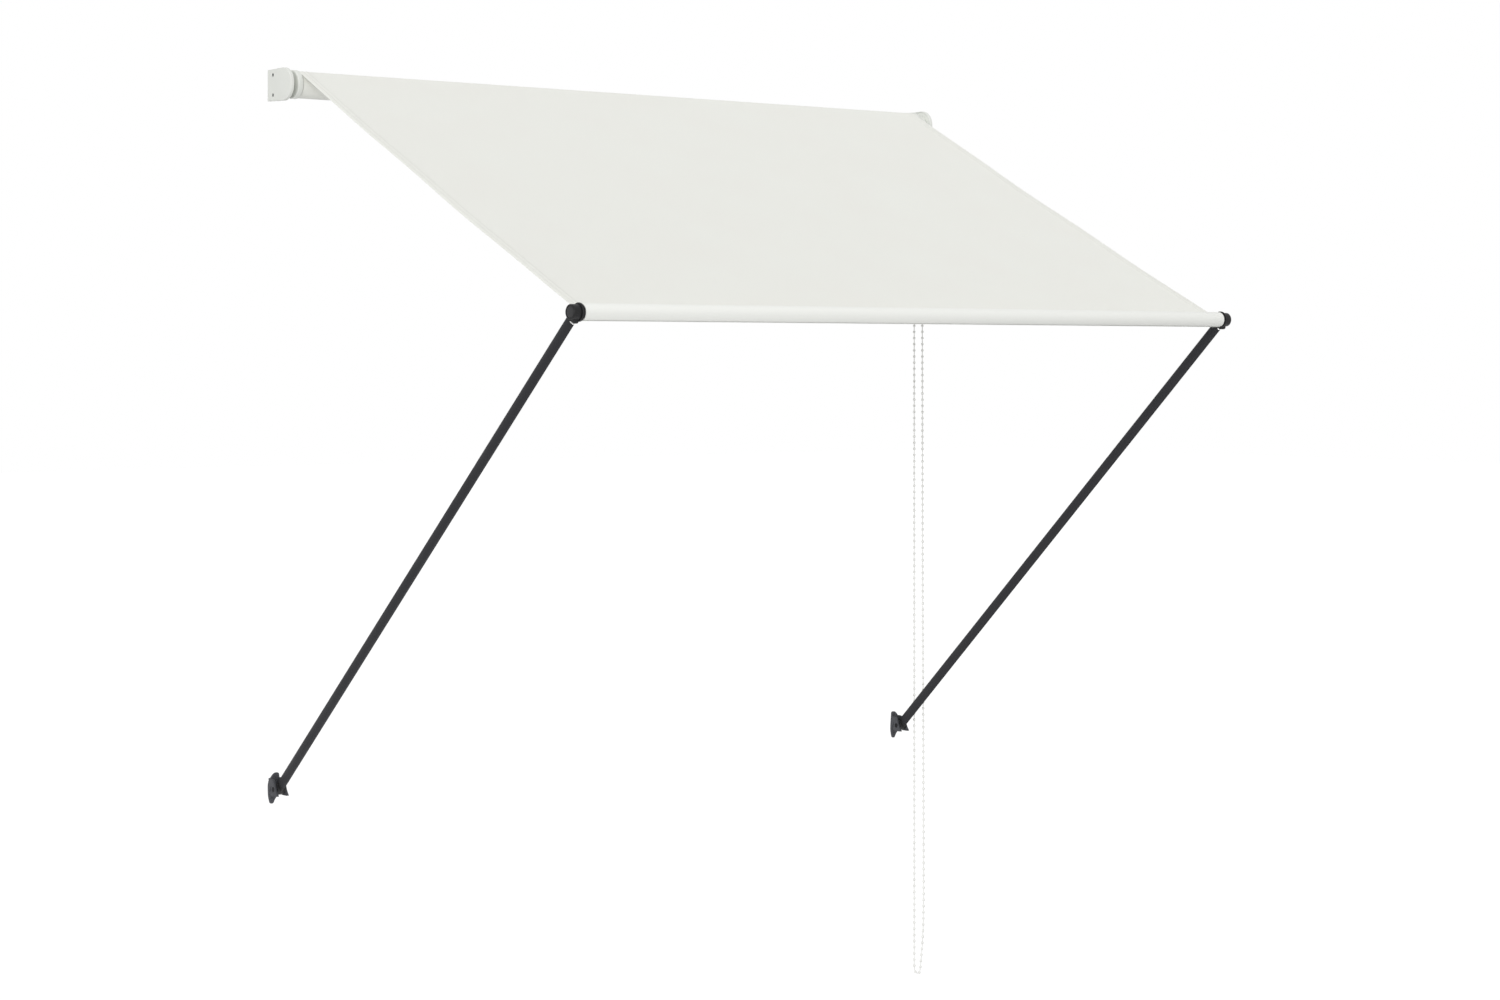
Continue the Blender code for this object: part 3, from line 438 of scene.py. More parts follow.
def shell(rings, closed=True):
    """A bmesh through rings of points: a ring of one point closes to a tip. The last ring joins the first."""
    mesh = bmesh.new()
    rows = [[mesh.verts.new(p) for p in ring] for ring in rings]
    pairs = list(zip(rows, rows[1:] + rows[:1])) if closed else list(zip(rows, rows[1:]))
    for low, high in pairs:
        count = max(len(low), len(high))
        for i in range(count):
            j = (i + 1) % count
            corners = [low[i % len(low)], low[j % len(low)], high[j % len(high)], high[i % len(high)]]
            face = list(dict.fromkeys(corners))
            if len(face) > 2:
                mesh.faces.new(face)
    bmesh.ops.recalc_face_normals(mesh, faces=mesh.faces)
    return mesh


def turned(profile, soft=0.0, place=Matrix.Identity(4), axis="X", sides=72, flat=0.0):
    """A solid turned about an axis. Its profile is a closed outline of (place along it, distance from it).
    About Z it can be flat: narrower by that much in X than in Y."""
    rings = []
    for along, away in softened(profile, soft) if soft else profile:
        count = 1 if away < 1e-7 else sides
        ring = []
        for i in range(count):
            turn = 2 * math.pi * i / sides
            round_it = away * math.cos(turn), away * math.sin(turn)
            if count == 1:
                ring.append(place @ Vector((along, 0, 0) if axis == "X" else (0, 0, along)))
                continue
            spot = (along, *round_it) if axis == "X" else ((away - flat) * math.cos(turn), round_it[1], along)
            ring.append(place @ Vector(spot))
        rings.append(ring)
    return shell(rings)


def inset(outline, amount):
    """The outline moved inwards, whichever way round it runs."""
    area = sum(a[0] * b[1] - b[0] * a[1] for a, b in zip(outline, outline[1:] + outline[:1]))
    turn = 1 if area > 0 else -1
    made = []
    for before, here, after in zip(outline[-1:] + outline[:-1], outline, outline[1:] + outline[:1]):
        one, two = Vector(here) - Vector(before), Vector(after) - Vector(here)
        normal = Vector((-one.y, one.x)).normalized() + Vector((-two.y, two.x)).normalized()
        if normal.length < 0.3:
            normal = Vector((-one.y, one.x)).normalized() * 2
        normal = normal * (2 / normal.length_squared) * turn
        made.append(tuple(Vector(here) + normal * amount))
    return made


def sawn(outlines, low, high, ease, place=Matrix.Identity(4), axis="X"):
    """A plate between two depths, its first outline the rim and the others holes, with eased edges."""

    def put(spot, depth):
        """The place of a point of the outline at a depth."""
        spots = {"X": (depth, *spot), "Y": (spot[0], depth, spot[1]), "Z": (*spot, depth)}
        return place @ Vector(spots[axis])

    mesh = bmesh.new()
    steps = [0, 30, 60, 90]
    edges = [(1 - math.sin(math.radians(a)), 1 - math.cos(math.radians(a))) for a in steps]
    rims = {low: [], high: []}
    for number, outline in enumerate(outlines):
        sign = 1 if number == 0 else -1
        levels = [(low + ease * up, ease * away) for away, up in edges]
        levels += [(high - ease * up, ease * away) for away, up in reversed(edges)]
        rows = []
        for depth, away in levels:
            rows.append([mesh.verts.new(put(spot, depth)) for spot in inset(outline, sign * away)])
        rims[low].append(rows[0])
        rims[high].append(rows[-1])
        for one, two in zip(rows, rows[1:]):
            for i in range(len(one)):
                j = (i + 1) % len(one)
                mesh.faces.new((one[i], one[j], two[j], two[i]))
    for rows in rims.values():
        rim_edges = []
        for row in rows:
            rim_edges += [mesh.edges.get((a, b)) for a, b in zip(row, row[1:] + row[:1])]
        bmesh.ops.triangle_fill(mesh, edges=rim_edges, use_beauty=True)
    bmesh.ops.recalc_face_normals(mesh, faces=mesh.faces)
    return mesh


def object_of(name, meshes):
    """One object of several closed shells."""
    data = bpy.data.meshes.new(name)
    whole = bmesh.new()
    for mesh in meshes:
        mesh.to_mesh(data)
        mesh.free()
        whole.from_mesh(data)
    whole.to_mesh(data)
    whole.free()
    return in_scene(name, data)


def flattened(made):
    """The object with its modifiers worked into its mesh."""
    evaluated = made.evaluated_get(bpy.context.evaluated_depsgraph_get())
    data = bpy.data.meshes.new_from_object(evaluated)
    made.modifiers.clear()
    made.data = data


def mesh_of(made):
    """The bmesh of an object, which is removed."""
    mesh = bmesh.new()
    mesh.from_mesh(made.data)
    bpy.data.objects.remove(made)
    return mesh


def combined(made, meshes, operation):
    """The object with closed shells joined to it or cut from it."""
    for mesh in meshes:
        tool = object_of("tool", [mesh])
        step = made.modifiers.new("step", "BOOLEAN")
        step.operation = operation
        step.solver = "EXACT"
        step.object = tool
        flattened(made)
        bpy.data.objects.remove(tool)
    return made


def dressed(made, finish, sharp=38):
    """Gives a piece its surface and smooth shading between its edges."""
    if finish:
        made.data.materials.clear()
        made.data.materials.append(finish)
    made.data.shade_smooth()
    made.data.set_sharp_from_angle(angle=math.radians(sharp))


def piece(name, meshes, finish, body, nodes, sharp=38):
    """A finished piece that stands for its CAD nodes and rides on their body."""
    made = object_of(name, meshes) if isinstance(meshes, list) else meshes
    dressed(made, finish, sharp)
    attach(made, body)
    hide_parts(*nodes)


def grown(name, source, tree, settings):
    """The plain mesh that a Geometry Nodes tree makes of a source object, which is then removed."""
    step = source.modifiers.new("grow", "NODES")
    step.node_group = tree
    for item in tree.interface.items_tree:
        if item.item_type == "SOCKET" and item.in_out == "INPUT" and item.name in settings:
            step[item.identifier] = settings[item.name]
    view_layer = bpy.context.evaluated_depsgraph_get()
    data = bpy.data.meshes.new_from_object(source.evaluated_get(view_layer), depsgraph=view_layer)
    bpy.data.objects.remove(source)
    return in_scene(name, data)


def growth_tree(name, **inputs):
    """An empty Geometry Nodes tree with named inputs, listed under their kind of socket."""
    tree = bpy.data.node_groups.new(name, "GeometryNodeTree")
    tree.interface.new_socket("Geometry", in_out="INPUT", socket_type="NodeSocketGeometry")
    for kind, titles in inputs.items():
        for title in titles:
            tree.interface.new_socket(title, in_out="INPUT", socket_type="NodeSocket" + kind)
    tree.interface.new_socket("Geometry", in_out="OUTPUT", socket_type="NodeSocketGeometry")
    return tree, tree.nodes.new("NodeGroupInput").outputs


def strung(tree, spots, ball, size):
    """Copies of a ball at points along curves, each one stretched along its curve."""
    tangent = add_node(tree, "GeometryNodeInputTangent")
    facing = add_node(tree, "FunctionNodeAlignRotationToVector", {"Vector": tangent.outputs[0]}, axis="Z")
    placed = {"Points": spots, "Instance": ball, "Rotation": facing.outputs[0], "Scale": size}
    return add_node(tree, "GeometryNodeInstanceOnPoints", placed).outputs[0]


def grow_end(tree, shape, finish):
    """Ends a tree in real geometry with its surface."""
    solid = add_node(tree, "GeometryNodeRealizeInstances", {0: shape})
    coated = add_node(tree, "GeometryNodeSetMaterial", {"Geometry": solid.outputs[0], "Material": finish})
    add_node(tree, "NodeGroupOutput", {0: coated.outputs[0]})


def line_object(name, runs):
    """A curve object of open runs of points."""
    data = bpy.data.curves.new(name, "CURVE")
    data.dimensions = "3D"
    for run in runs:
        spline = data.splines.new("POLY")
        spline.points.add(len(run) - 1)
        for spot, point in zip(spline.points, run):
            spot.co = (*point, 1)
    return in_scene(name, data)


# Bead chain: beads on a string, along the free loop and over the wheel
loop_end_gap = 11.7 * mm
wheel_end_gap = 0.7 * mm


def smooth_route(route, steps=12):
    """A smooth curve through the route's points."""
    fine = []
    ends = [route[0]] + list(route) + [route[-1]]
    for before, start, end, after in zip(ends, ends[1:], ends[2:], ends[3:]):
        for i in range(steps):
            t = i / steps
            spot = []
            for b, s, e, a in zip(before, start, end, after):
                squared, cubed = (2 * b - 5 * s + 4 * e - a) * t**2, (3 * s - b - 3 * e + a) * t**3
                spot.append(0.5 * (2 * s + (e - b) * t + squared + cubed))
            fine.append(tuple(spot))
    return fine + [route[-1]]


def length_of(points):
    """The length of a line through the points."""
    return sum(math.dist(a, b) for a, b in zip(points, points[1:]))


def bead_tree():
    """Beads at an even pitch between two end gaps, on a string as long as the curve."""
    numbers = ("End gap", "Curve length", "Bead radius", "Bead stretch", "String radius")
    tree, given = growth_tree("beads_on_a_string", Int=["Beads"], Float=numbers, Material=["Finish"])
    ends = {0: given["Curve length"], 1: given["End gap"]}
    far = add_node(tree, "ShaderNodeMath", ends, operation="SUBTRACT")
    ends = {"Curve": given["Geometry"], 4: given["End gap"], 5: far.outputs[0]}
    kept = add_node(tree, "GeometryNodeTrimCurve", ends, mode="LENGTH")
    even = {"Curve": kept.outputs[0], "Count": given["Beads"]}
    spots = add_node(tree, "GeometryNodeResampleCurve", even, mode="COUNT")
    sphere = {"Segments": 12, "Rings": 8, "Radius": given["Bead radius"]}
    ball = add_node(tree, "GeometryNodeMeshUVSphere", sphere)
    longer = add_node(tree, "ShaderNodeCombineXYZ", {0: 1.0, 1: 1.0, 2: given["Bead stretch"]})
    beads = strung(tree, spots.outputs[0], ball.outputs[0], longer.outputs[0])
    ring = {"Resolution": 8, "Radius": given["String radius"]}
    rounded = add_node(tree, "GeometryNodeCurvePrimitiveCircle", ring)
    swept = {"Curve": given["Geometry"], "Profile Curve": rounded.outputs[0], "Fill Caps": True}
    string = add_node(tree, "GeometryNodeCurveToMesh", swept)
    both = add_node(tree, "GeometryNodeJoinGeometry")
    tree.links.new(beads, both.inputs[0])
    tree.links.new(string.outputs[0], both.inputs[0])
    smooth = add_node(tree, "GeometryNodeSetShadeSmooth", {0: both.outputs[0]})
    grow_end(tree, smooth.outputs[0], given["Finish"])
    return tree


def chain():
    """The free loop that hangs below the housing, and the beads over the wheel inside it."""
    tree = bead_tree()
    loop = [(chain_x, y * mm, z * mm) for y, z in smooth_route(chain_route)]
    length = length_of(loop)
    beads = round((length - 2 * loop_end_gap) / bead_pitch) + 1
    sizes = {
        "End gap": loop_end_gap,
        "Curve length": length,
        "Beads": beads,
        "Bead radius": bead_radius,
        "Bead stretch": bead_stretch,
        "String radius": string_radius,
        "Finish": bead_surface,
    }
    free = grown("chain_loop", line_object("chain_line", [loop]), tree, sizes)
    piece("chain_loop", free, None, "wall_frame", ["bead_chain"])

    top = (-20 + 0.3) * mm
    over = [(chain_x, -roller_from_wall - chain_pitch_radius, top)]
    over += [(chain_x, y, z) for y, z in arc((-roller_from_wall, 0), chain_pitch_radius, math.pi, 0, 36)]
    over += [(chain_x, -roller_from_wall + chain_pitch_radius, top)]
    sizes.update({"End gap": wheel_end_gap, "Curve length": length_of(over)})
    sizes.update({"Beads": 7, "Bead radius": 2.5 * mm, "Bead stretch": 1.0})
    held = grown("chain_on_wheel", line_object("wheel_line", [over]), tree, sizes)
    piece("chain_on_wheel", held, None, "wall_frame", ["chain_over_wheel"])


chain()


# Roller brackets
def span(side, near, far):
    """X of two depths, counted inwards from the outer face of a roller bracket, the lower one first."""
    return sorted((outer_face[side] - side * near, outer_face[side] - side * far))


def bracket_outline(inward, back=0.0):
    """The D shape of a roller bracket in Y and Z, from the wall to its round nose, where it stands taller."""
    radius = nose_radius - inward
    nose = arc((-roller_from_wall, 0), radius, math.pi / 2, 3 * math.pi / 2, 60)
    half = radius - cover_taper * (roller_from_wall + back) / roller_from_wall
    return [(back, half)] + nose + [(back, -half)]


def screw():
    """A pan-head screw with a cross recess: its head on +X, its seat at the origin."""
    head = screw_head_height
    body = [
        (-screw_length + head, 0),
        (-screw_length + head + 2 * mm, screw_shank_radius),
        (0, screw_shank_radius),
        (0, screw_head_radius),
        (0.35 * head, screw_head_radius),
        (0.8 * head, 0.8 * screw_head_radius),
        (head, 0.4 * screw_head_radius),
        (head, 0),
    ]
    made = object_of("cross_head_screw", [turned(body, 0.12 * mm, sides=32)])
    arms = []
    for wide, tall in ((0.35, 1.6), (1.6, 0.35)):
        square = [(-wide, -tall), (wide, -tall), (wide, tall), (-wide, tall)]
        outline = [(u * mm, v * mm) for u, v in square]
        arms.append(sawn([outline], 0.3 * head, 2 * head, 0.02 * mm))
    return combined(made, arms, "DIFFERENCE")


def copies_tree():
    """A copy of one object at each point, turned as the point's own turn says."""
    tree, given = growth_tree("copies_at_points", Object=["Copied"], Material=["Finish"])
    shape = add_node(tree, "GeometryNodeObjectInfo", {"Object": given["Copied"]}).outputs["Geometry"]
    turn = add_node(tree, "GeometryNodeInputNamedAttribute", {"Name": "turn"}, data_type="FLOAT_VECTOR")
    each = {"Points": given["Geometry"], "Instance": shape, "Rotation": turn.outputs[0]}
    placed = add_node(tree, "GeometryNodeInstanceOnPoints", each)
    grow_end(tree, placed.outputs[0], given["Finish"])
    return tree


def cover_screws():
    """The four screws of the bracket covers, each with its recess turned a little differently."""
    spots = bpy.data.meshes.new("screw_spots")
    places, turns = [], []
    for number, (side, height) in enumerate([(left, -1), (left, 1), (right, -1), (right, 1)]):
        seat = outer_face[side] - side * (screw_head_sink + screw_head_height)
        places.append((seat, -cover_screw_from_wall, height * cover_screw_height))
        turns.append((0.3 + 0.9 * number, 0, 0 if side == right else math.pi))
    spots.from_pydata(places, [], [])
    stored = spots.attributes.new("turn", "FLOAT_VECTOR", "POINT")
    stored.data.foreach_set("vector", [value for turn in turns for value in turn])
    one = screw()
    # The screws' dark grey is painted shade of their recesses
    sizes = {"Copied": one, "Finish": screw_recess_shade_surface}
    made = grown("cover_screws", in_scene("screw_spots", spots), copies_tree(), sizes)
    bpy.data.objects.remove(one)
    nodes = [f"cover_screw_{word}_{spot}" for word in ("left", "right") for spot in ("upper", "lower")]
    piece("cover_screws", made, None, "wall_frame", nodes)


def bracket_cover(word, side):
    """The outer D-shaped shell, hollow behind, with two sunk screw holes."""
    low, high = span(side, 0, cover_depth)
    made = object_of("roller_cover_" + word, [sawn([bracket_outline(0)], low, high, 0.9 * mm)])
    floor = span(side, cover_wall, 2 * cover_depth)
    hollow = [bracket_outline(cover_wall - 0.2 * mm, back=cover_wall)]
    cutters = [sawn(hollow, *floor, 0.5 * mm)]
    seat = screw_head_sink + screw_head_height + gap
    for height in screw_heights:
        place = Matrix.Translation((outer_face[side], -cover_screw_from_wall, height))
        hole = [
            (-side * cover_depth, 0),
            (-side * cover_depth, screw_shank_radius + gap),
            (-side * seat, screw_shank_radius + gap),
            (-side * seat, screw_head_radius + gap),
            (-side * 0.9 * mm, screw_head_radius + gap),
            (side * 0.1 * mm, screw_head_radius + 3 * gap),
            (side * 1 * mm, screw_head_radius + 3 * gap),
            (side * 1 * mm, 0),
        ]
        cutters.append(turned(hole, place=place, sides=40))
    combined(made, cutters, "DIFFERENCE")
    piece(made.name, made, abs_surface, "wall_frame", ["bracket_cover_" + word])


def bracket_base(word, side, bore, boss_end=None):
    """The wall flange and the upright web behind the cover, with its screw lugs and its bore."""
    outline = bracket_outline(cover_wall + gap)
    holes = [circle((-roller_from_wall, 0), bore)]
    for height in screw_heights:
        holes.append(circle((-cover_screw_from_wall, height), screw_shank_radius + gap, 20))
    meshes = [sawn([outline] + holes, *span(side, cover_inner, web_end), 0.4 * mm)]
    for height in screw_heights:
        start, end = span(side, web_end - 0.5 * mm, web_end + screw_boss_length)
        inner, outer = screw_shank_radius + gap, screw_boss_radius
        lug = [(start, inner), (start, outer), (end, outer), (end, inner)]
        place = Matrix.Translation((0, -cover_screw_from_wall, height))
        meshes.append(turned(lug, 0.3 * mm, place, sides=32))
    low, high = span(side, web_end - 0.5 * mm, web_end + flange_width)
    middle = (low + high) / 2
    heights = (-wall_screw_spacing / 2, wall_screw_spacing / 2)
    screws = [circle((middle, height), wall_screw_radius, 28) for height in heights]
    half, corner = flange_half_height, 3 * mm
    plate = [(low, -half), (high - corner, -half)]
    plate += arc((high - corner, -half + corner), corner, -math.pi / 2, 0, 8)
    plate += arc((high - corner, half - corner), corner, 0, math.pi / 2, 8) + [(low, half)]
    if side == right:
        plate = [(low + high - x, z) for x, z in plate]
    meshes.append(sawn([plate] + screws, -flange_thickness, 0, 0.4 * mm, axis="Y"))
    if boss_end:
        start = outer_face[side] - side * (web_end - 0.5 * mm)
        boss = [(start, bore), (start, idle_boss_radius), (boss_end, idle_boss_radius), (boss_end, bore)]
        meshes.append(turned(boss, 0.5 * mm, Matrix.Translation((0, -roller_from_wall, 0))))
    name = "roller_base_" + word
    piece(name, meshes, abs_surface, "wall_frame", ["bracket_base_" + word])


def roller_brackets():
    """Both roller brackets, with their covers and cover screws."""
    boss_end = roll_left - gap - idle_flange_width - 1 * mm
    bracket_base("left", left, idle_pin_radius + gap, boss_end)
    bracket_base("right", right, core_radius + gap)
    bracket_cover("left", left)
    bracket_cover("right", right)
    cover_screws()


roller_brackets()


# Roller
def cloth_line():
    """(Y, Z) where the cloth leaves the roll, its reach from the bar, its slope and its angle on the roll."""
    along_y, along_z = bar_y + roller_from_wall, bar_z
    reach = math.hypot(along_y, along_z)
    radius = roll_radius - cloth_thickness / 2
    angle = math.atan2(along_z, along_y) - math.acos(radius / reach)
    leave = (-roller_from_wall + radius * math.cos(angle), radius * math.sin(angle))
    slope = math.atan2(leave[1] - bar_z, leave[0] - bar_y)
    return leave, math.sqrt(reach**2 - radius**2), slope, angle


cloth_leaves, cloth_reach, cloth_slope, leave_angle = cloth_line()
lap = math.radians(15)


def roll_tree():
    """A sheet wound in a spiral about X, with its two flat sides and its own place as a map."""
    numbers = ("Turns", "Inner radius", "Outer radius", "Width", "Thickness", "Outer end angle")
    tree, given = growth_tree("wound_cloth", Float=numbers, Vector=["Middle"], Material=["Finish"])
    coil = {"Resolution": 90, "Rotations": given["Turns"], "Height": 0.0}
    coil.update({"Start Radius": given["Inner radius"], "End Radius": given["Outer radius"]})
    spiral = add_node(tree, "GeometryNodeCurveSpiral", coil)
    length = add_node(tree, "GeometryNodeSplineParameter")
    along = add_node(tree, "GeometryNodeCaptureAttribute", {"Geometry": spiral.outputs[0]}, domain="POINT")
    along.capture_items.new("FLOAT", "along")
    tree.links.new(length.outputs["Length"], along.inputs[1])
    section = {"Width": given["Thickness"], "Height": given["Width"]}
    section = add_node(tree, "GeometryNodeCurvePrimitiveQuadrilateral", section)
    swept = {"Curve": along.outputs[0], "Profile Curve": section.outputs[0], "Fill Caps": True}
    wound = add_node(tree, "GeometryNodeCurveToMesh", swept)
    spot = add_node(tree, "GeometryNodeInputPosition")
    parts = add_node(tree, "ShaderNodeSeparateXYZ", {0: spot.outputs[0]})
    flat = add_node(tree, "ShaderNodeCombineXYZ", {0: parts.outputs[2], 1: along.outputs[1]})
    stored = {"Geometry": wound.outputs[0], "Name": "cloth", "Value": flat.outputs[0]}
    map_on = {"data_type": "FLOAT2", "domain": "CORNER"}
    mapped = add_node(tree, "GeometryNodeStoreNamedAttribute", stored, **map_on)
    # The spiral winds about Z: it is turned to wind about X, and then its outer end to the leaving angle
    upright = {"Geometry": mapped.outputs[0], "Rotation": (0, math.radians(90), 0)}
    stood = add_node(tree, "GeometryNodeTransform", upright)
    turn = add_node(tree, "ShaderNodeCombineXYZ", {0: given["Outer end angle"]})
    final = {"Geometry": stood.outputs[0], "Rotation": turn.outputs[0], "Translation": given["Middle"]}
    turned_to = add_node(tree, "GeometryNodeTransform", final)
    grow_end(tree, turned_to.outputs[0], given["Finish"])
    return tree


def cloth_roll():
    """The turns of cloth left on the tube. The outer one ends where the let-out sheet laps onto it."""
    turns = (roll_radius - tube_radius - 2 * gap) / cloth_thickness
    source = in_scene("wound", bpy.data.meshes.new("wound"))
    sizes = {
        "Turns": turns,
        "Inner radius": tube_radius + 1.5 * gap,
        "Outer radius": roll_radius - cloth_thickness / 2,
        "Width": cloth_width - 2.4 * mm,
        "Thickness": cloth_thickness - 0.04 * mm,
        "Outer end angle": leave_angle - lap - (2 * math.pi * turns - math.pi / 2),
        "Middle": (cloth_centre_at_roller, -roller_from_wall, 0),
        "Finish": cloth_surface,
    }
    made = grown("wound_cloth", source, roll_tree(), sizes)
    piece("wound_cloth", made, None, "roller", ["cloth_roll"])


def roller():
    """The roller tube's two end plugs, and what turns with them."""
    place = Matrix.Translation((0, -roller_from_wall, 0))
    inner = tube_radius - tube_wall
    spigot = inner - gap
    face = roll_left - gap
    bore = idle_pin_radius + gap
    bottom = outer_face[left] + cover_inner + idle_pin_length + gap
    idle = [
        (bottom, 0),
        (bottom, bore),
        (face - idle_flange_width, bore),
        (face - idle_flange_width, plug_flange_radius - 1.2 * mm),
        (face - idle_flange_width + 1.2 * mm, plug_flange_radius),
        (face, plug_flange_radius),
        (face, spigot),
        (face + plug_spigot_length, spigot),
        (face + plug_spigot_length, 0),
    ]
    meshes = [turned(idle, 0.5 * mm, place, sides=96)]
    piece("idle_end", meshes, abs_surface, "roller", ["idle_plug"])

    face = roll_right + gap
    outside = face + drive_flange_width
    seat = neck_radius + gap
    floor = outside - wheel_seat_depth - gap
    drive = [
        (floor - spring_space_depth, 0),
        (floor - spring_space_depth, spring_space_radius),
        (floor, spring_space_radius),
        (floor, seat),
        (outside, seat),
        (outside, plug_flange_radius),
        (face, plug_flange_radius),
        (face, spigot),
        (floor - spring_space_depth - drive_plug_wall, spigot),
        (floor - spring_space_depth - drive_plug_wall, 0),
    ]
    meshes = [turned(drive, 0.4 * mm, place, sides=96)]
    piece("drive_end", meshes, abs_surface, "roller", ["drive_plug"])

    half = wheel_chain_radius + gap
    profile = [
        (chain_x + half + rim_width, core_radius + gap),
        (chain_x + half + rim_width, rim_radius),
        (chain_x + half, rim_radius),
        (chain_x + half, groove_bottom_radius),
        (chain_x - half, groove_bottom_radius),
        (chain_x - half, rim_radius),
        (chain_x - half - rim_width, rim_radius),
        (chain_x - half - rim_width, neck_radius),
        (outside - wheel_seat_depth, neck_radius),
        (outside - wheel_seat_depth, core_radius + gap),
    ]
    made = object_of("pocket_wheel", [turned(profile, 0.25 * mm, place, sides=60)])
    pockets = []
    for number in range(6):
        turn = math.radians(30 + 60 * number)
        across, up = chain_pitch_radius * math.cos(turn), chain_pitch_radius * math.sin(turn)
        at = (chain_x, -roller_from_wall + across, up)
        ball = arc((0, 0), pocket_radius, 0, math.pi, 12)
        ball[0], ball[-1] = (pocket_radius, 0), (-pocket_radius, 0)
        pockets.append(turned(ball, place=Matrix.Translation(at), sides=20))
    combined(made, pockets, "DIFFERENCE")
    piece(made.name, made, abs_surface, "roller", ["chain_wheel"])


def chain_housing():
    """The guard round the chain wheel, open below for the two strands, and its lid."""
    place = Matrix.Translation((0, -roller_from_wall, 0))
    floor, floor_in = outer_face[right] - web_end - gap, outer_face[right] - web_end - gap - housing_floor
    rim = chain_x - wheel_chain_radius - rim_width - 2 * gap
    bore = core_radius + gap
    outer = housing_bore_radius + housing_wall
    profile = [
        (floor, bore),
        (floor, outer),
        (rim, outer),
        (rim, housing_bore_radius),
        (floor_in, housing_bore_radius),
        (floor_in, bore),
    ]
    made = object_of("chain_guard", [turned(profile, 0.4 * mm, place)])
    half = chain_pitch_radius + 3 * mm + gap
    mouth = [
        (-roller_from_wall - half, -outer - 2 * mm),
        (-roller_from_wall + half, -outer - 2 * mm),
        (-roller_from_wall + half, -chain_gate_top),
        (-roller_from_wall - half, -chain_gate_top),
    ]
    combined(made, [sawn([mouth], rim - 2 * mm, floor_in - 0.01 * mm, 0.3 * mm)], "DIFFERENCE")
    piece(made.name, made, abs_surface, "wall_frame", ["chain_housing"])
    neck = neck_radius + gap
    high, low = rim - gap, rim - gap - housing_floor
    lid = [(high, neck), (high, outer), (low, outer), (low, neck)]
    meshes = [turned(lid, 0.5 * mm, place)]
    piece("chain_guard_lid", meshes, abs_surface, "wall_frame", ["chain_housing_lid"])


cloth_roll()
roller()
chain_housing()


# Front bar
bar_place = Matrix.Translation((0, bar_y, bar_z)) @ Matrix.Rotation(cloth_slope, 4, "X")


def groove_mouth(angle):
    """The outline of one welt groove, from one side of its slot in the bar's skin to the other."""
    half = slot_width / 2
    mouth = math.asin(half / groove_radius)
    centre = (groove_place * math.cos(angle), groove_place * math.sin(angle))
    inside = arc(centre, groove_radius, angle - mouth, angle + mouth - 2 * math.pi, 20)
    skin = math.asin(half / bar_radius)
    lip = 0.35 * mm
    wide = math.asin((half + lip) / bar_radius)
    ends = []
    inner = bar_radius - lip
    for spread, away in ((-wide, bar_radius), (-skin, inner), (skin, inner), (wide, bar_radius)):
        ends.append((away * math.cos(angle + spread), away * math.sin(angle + spread)))
    return ends[:2] + inside + ends[2:]


def hollow_outline():
    """The hollow between the bar's skin and the walls of its two grooves."""
    skin = bar_radius - bar_wall
    wall = groove_radius + groove_wall
    spread = math.acos((skin**2 + groove_place**2 - wall**2) / (2 * skin * groove_place))
    turn = math.acos((groove_place**2 + wall**2 - skin**2) / (2 * groove_place * wall))
    outline = []
    for here, following in [(0.0, valance_groove_angle + 2 * math.pi), (valance_groove_angle, 0.0)]:
        centre = (groove_place * math.cos(here), groove_place * math.sin(here))
        outline += arc(centre, wall, here + math.pi + turn, here + math.pi - turn, 12)
        outline += arc((0, 0), skin, here + spread, following - spread, 30)[1:-1]
    return outline


def bar_outline():
    """The round of the front bar, broken by its two welt grooves."""
    skin = math.asin((slot_width / 2 + 0.35 * mm) / bar_radius)
    second = valance_groove_angle + 2 * math.pi
    outline = groove_mouth(0.0)
    outline += arc((0, 0), bar_radius, skin, second - skin, 64)[1:-1]
    outline += groove_mouth(second)
    outline += arc((0, 0), bar_radius, second + skin, 2 * math.pi - skin, 40)[1:-1]
    return outline


def front_bar():
    """The extruded bar and the plugs in its two ends."""
    extruded = sawn([bar_outline(), hollow_outline()], -bar_end, bar_end, 0.15 * mm, bar_place)
    piece("bar_extrusion", [extruded], bar_surface, "front_bar", ["front_bar"], sharp=28)
    shoulder = bar_end + gap
    inner = bar_half + gap
    outer = inner + bar_flange_width
    stub_end = outer + gap + head_inside + stub_reach
    bore = stub_screw_radius + gap
    for word, side in both_sides:
        profile = [
            (shoulder - bar_spigot_length, 0),
            (shoulder - bar_spigot_length, stub_radius),
            (shoulder, stub_radius),
            (shoulder, bar_shoulder_radius),
            (inner, bar_shoulder_radius),
            (inner, bar_flange_radius),
            (outer - 0.8 * mm, bar_flange_radius),
            (outer, bar_flange_radius - 1.2 * mm),
            (outer, stub_radius),
            (stub_end, stub_radius),
            (stub_end, bore),
            (stub_end - stub_screw_depth, bore),
            (stub_end - stub_screw_depth, 0),
        ]
        meshes = [turned([(side * x, r) for x, r in profile], 0.3 * mm, bar_place, sides=96)]
        ends = sorted((side * (shoulder + 0.5 * mm), side * (shoulder - bar_spigot_length)))
        meshes.append(sawn([inset(hollow_outline(), gap)], *ends, 0.3 * mm, bar_place))
        piece("bar_end_" + word, meshes, black_surface, "front_bar", ["bar_plug_" + word])


front_bar()


# Canvas
sheet_rows = 84
sheet_columns = 110
sheet_sag = 4 * mm
ripple_height = 0.9 * mm
ripple_reach = 130 * mm


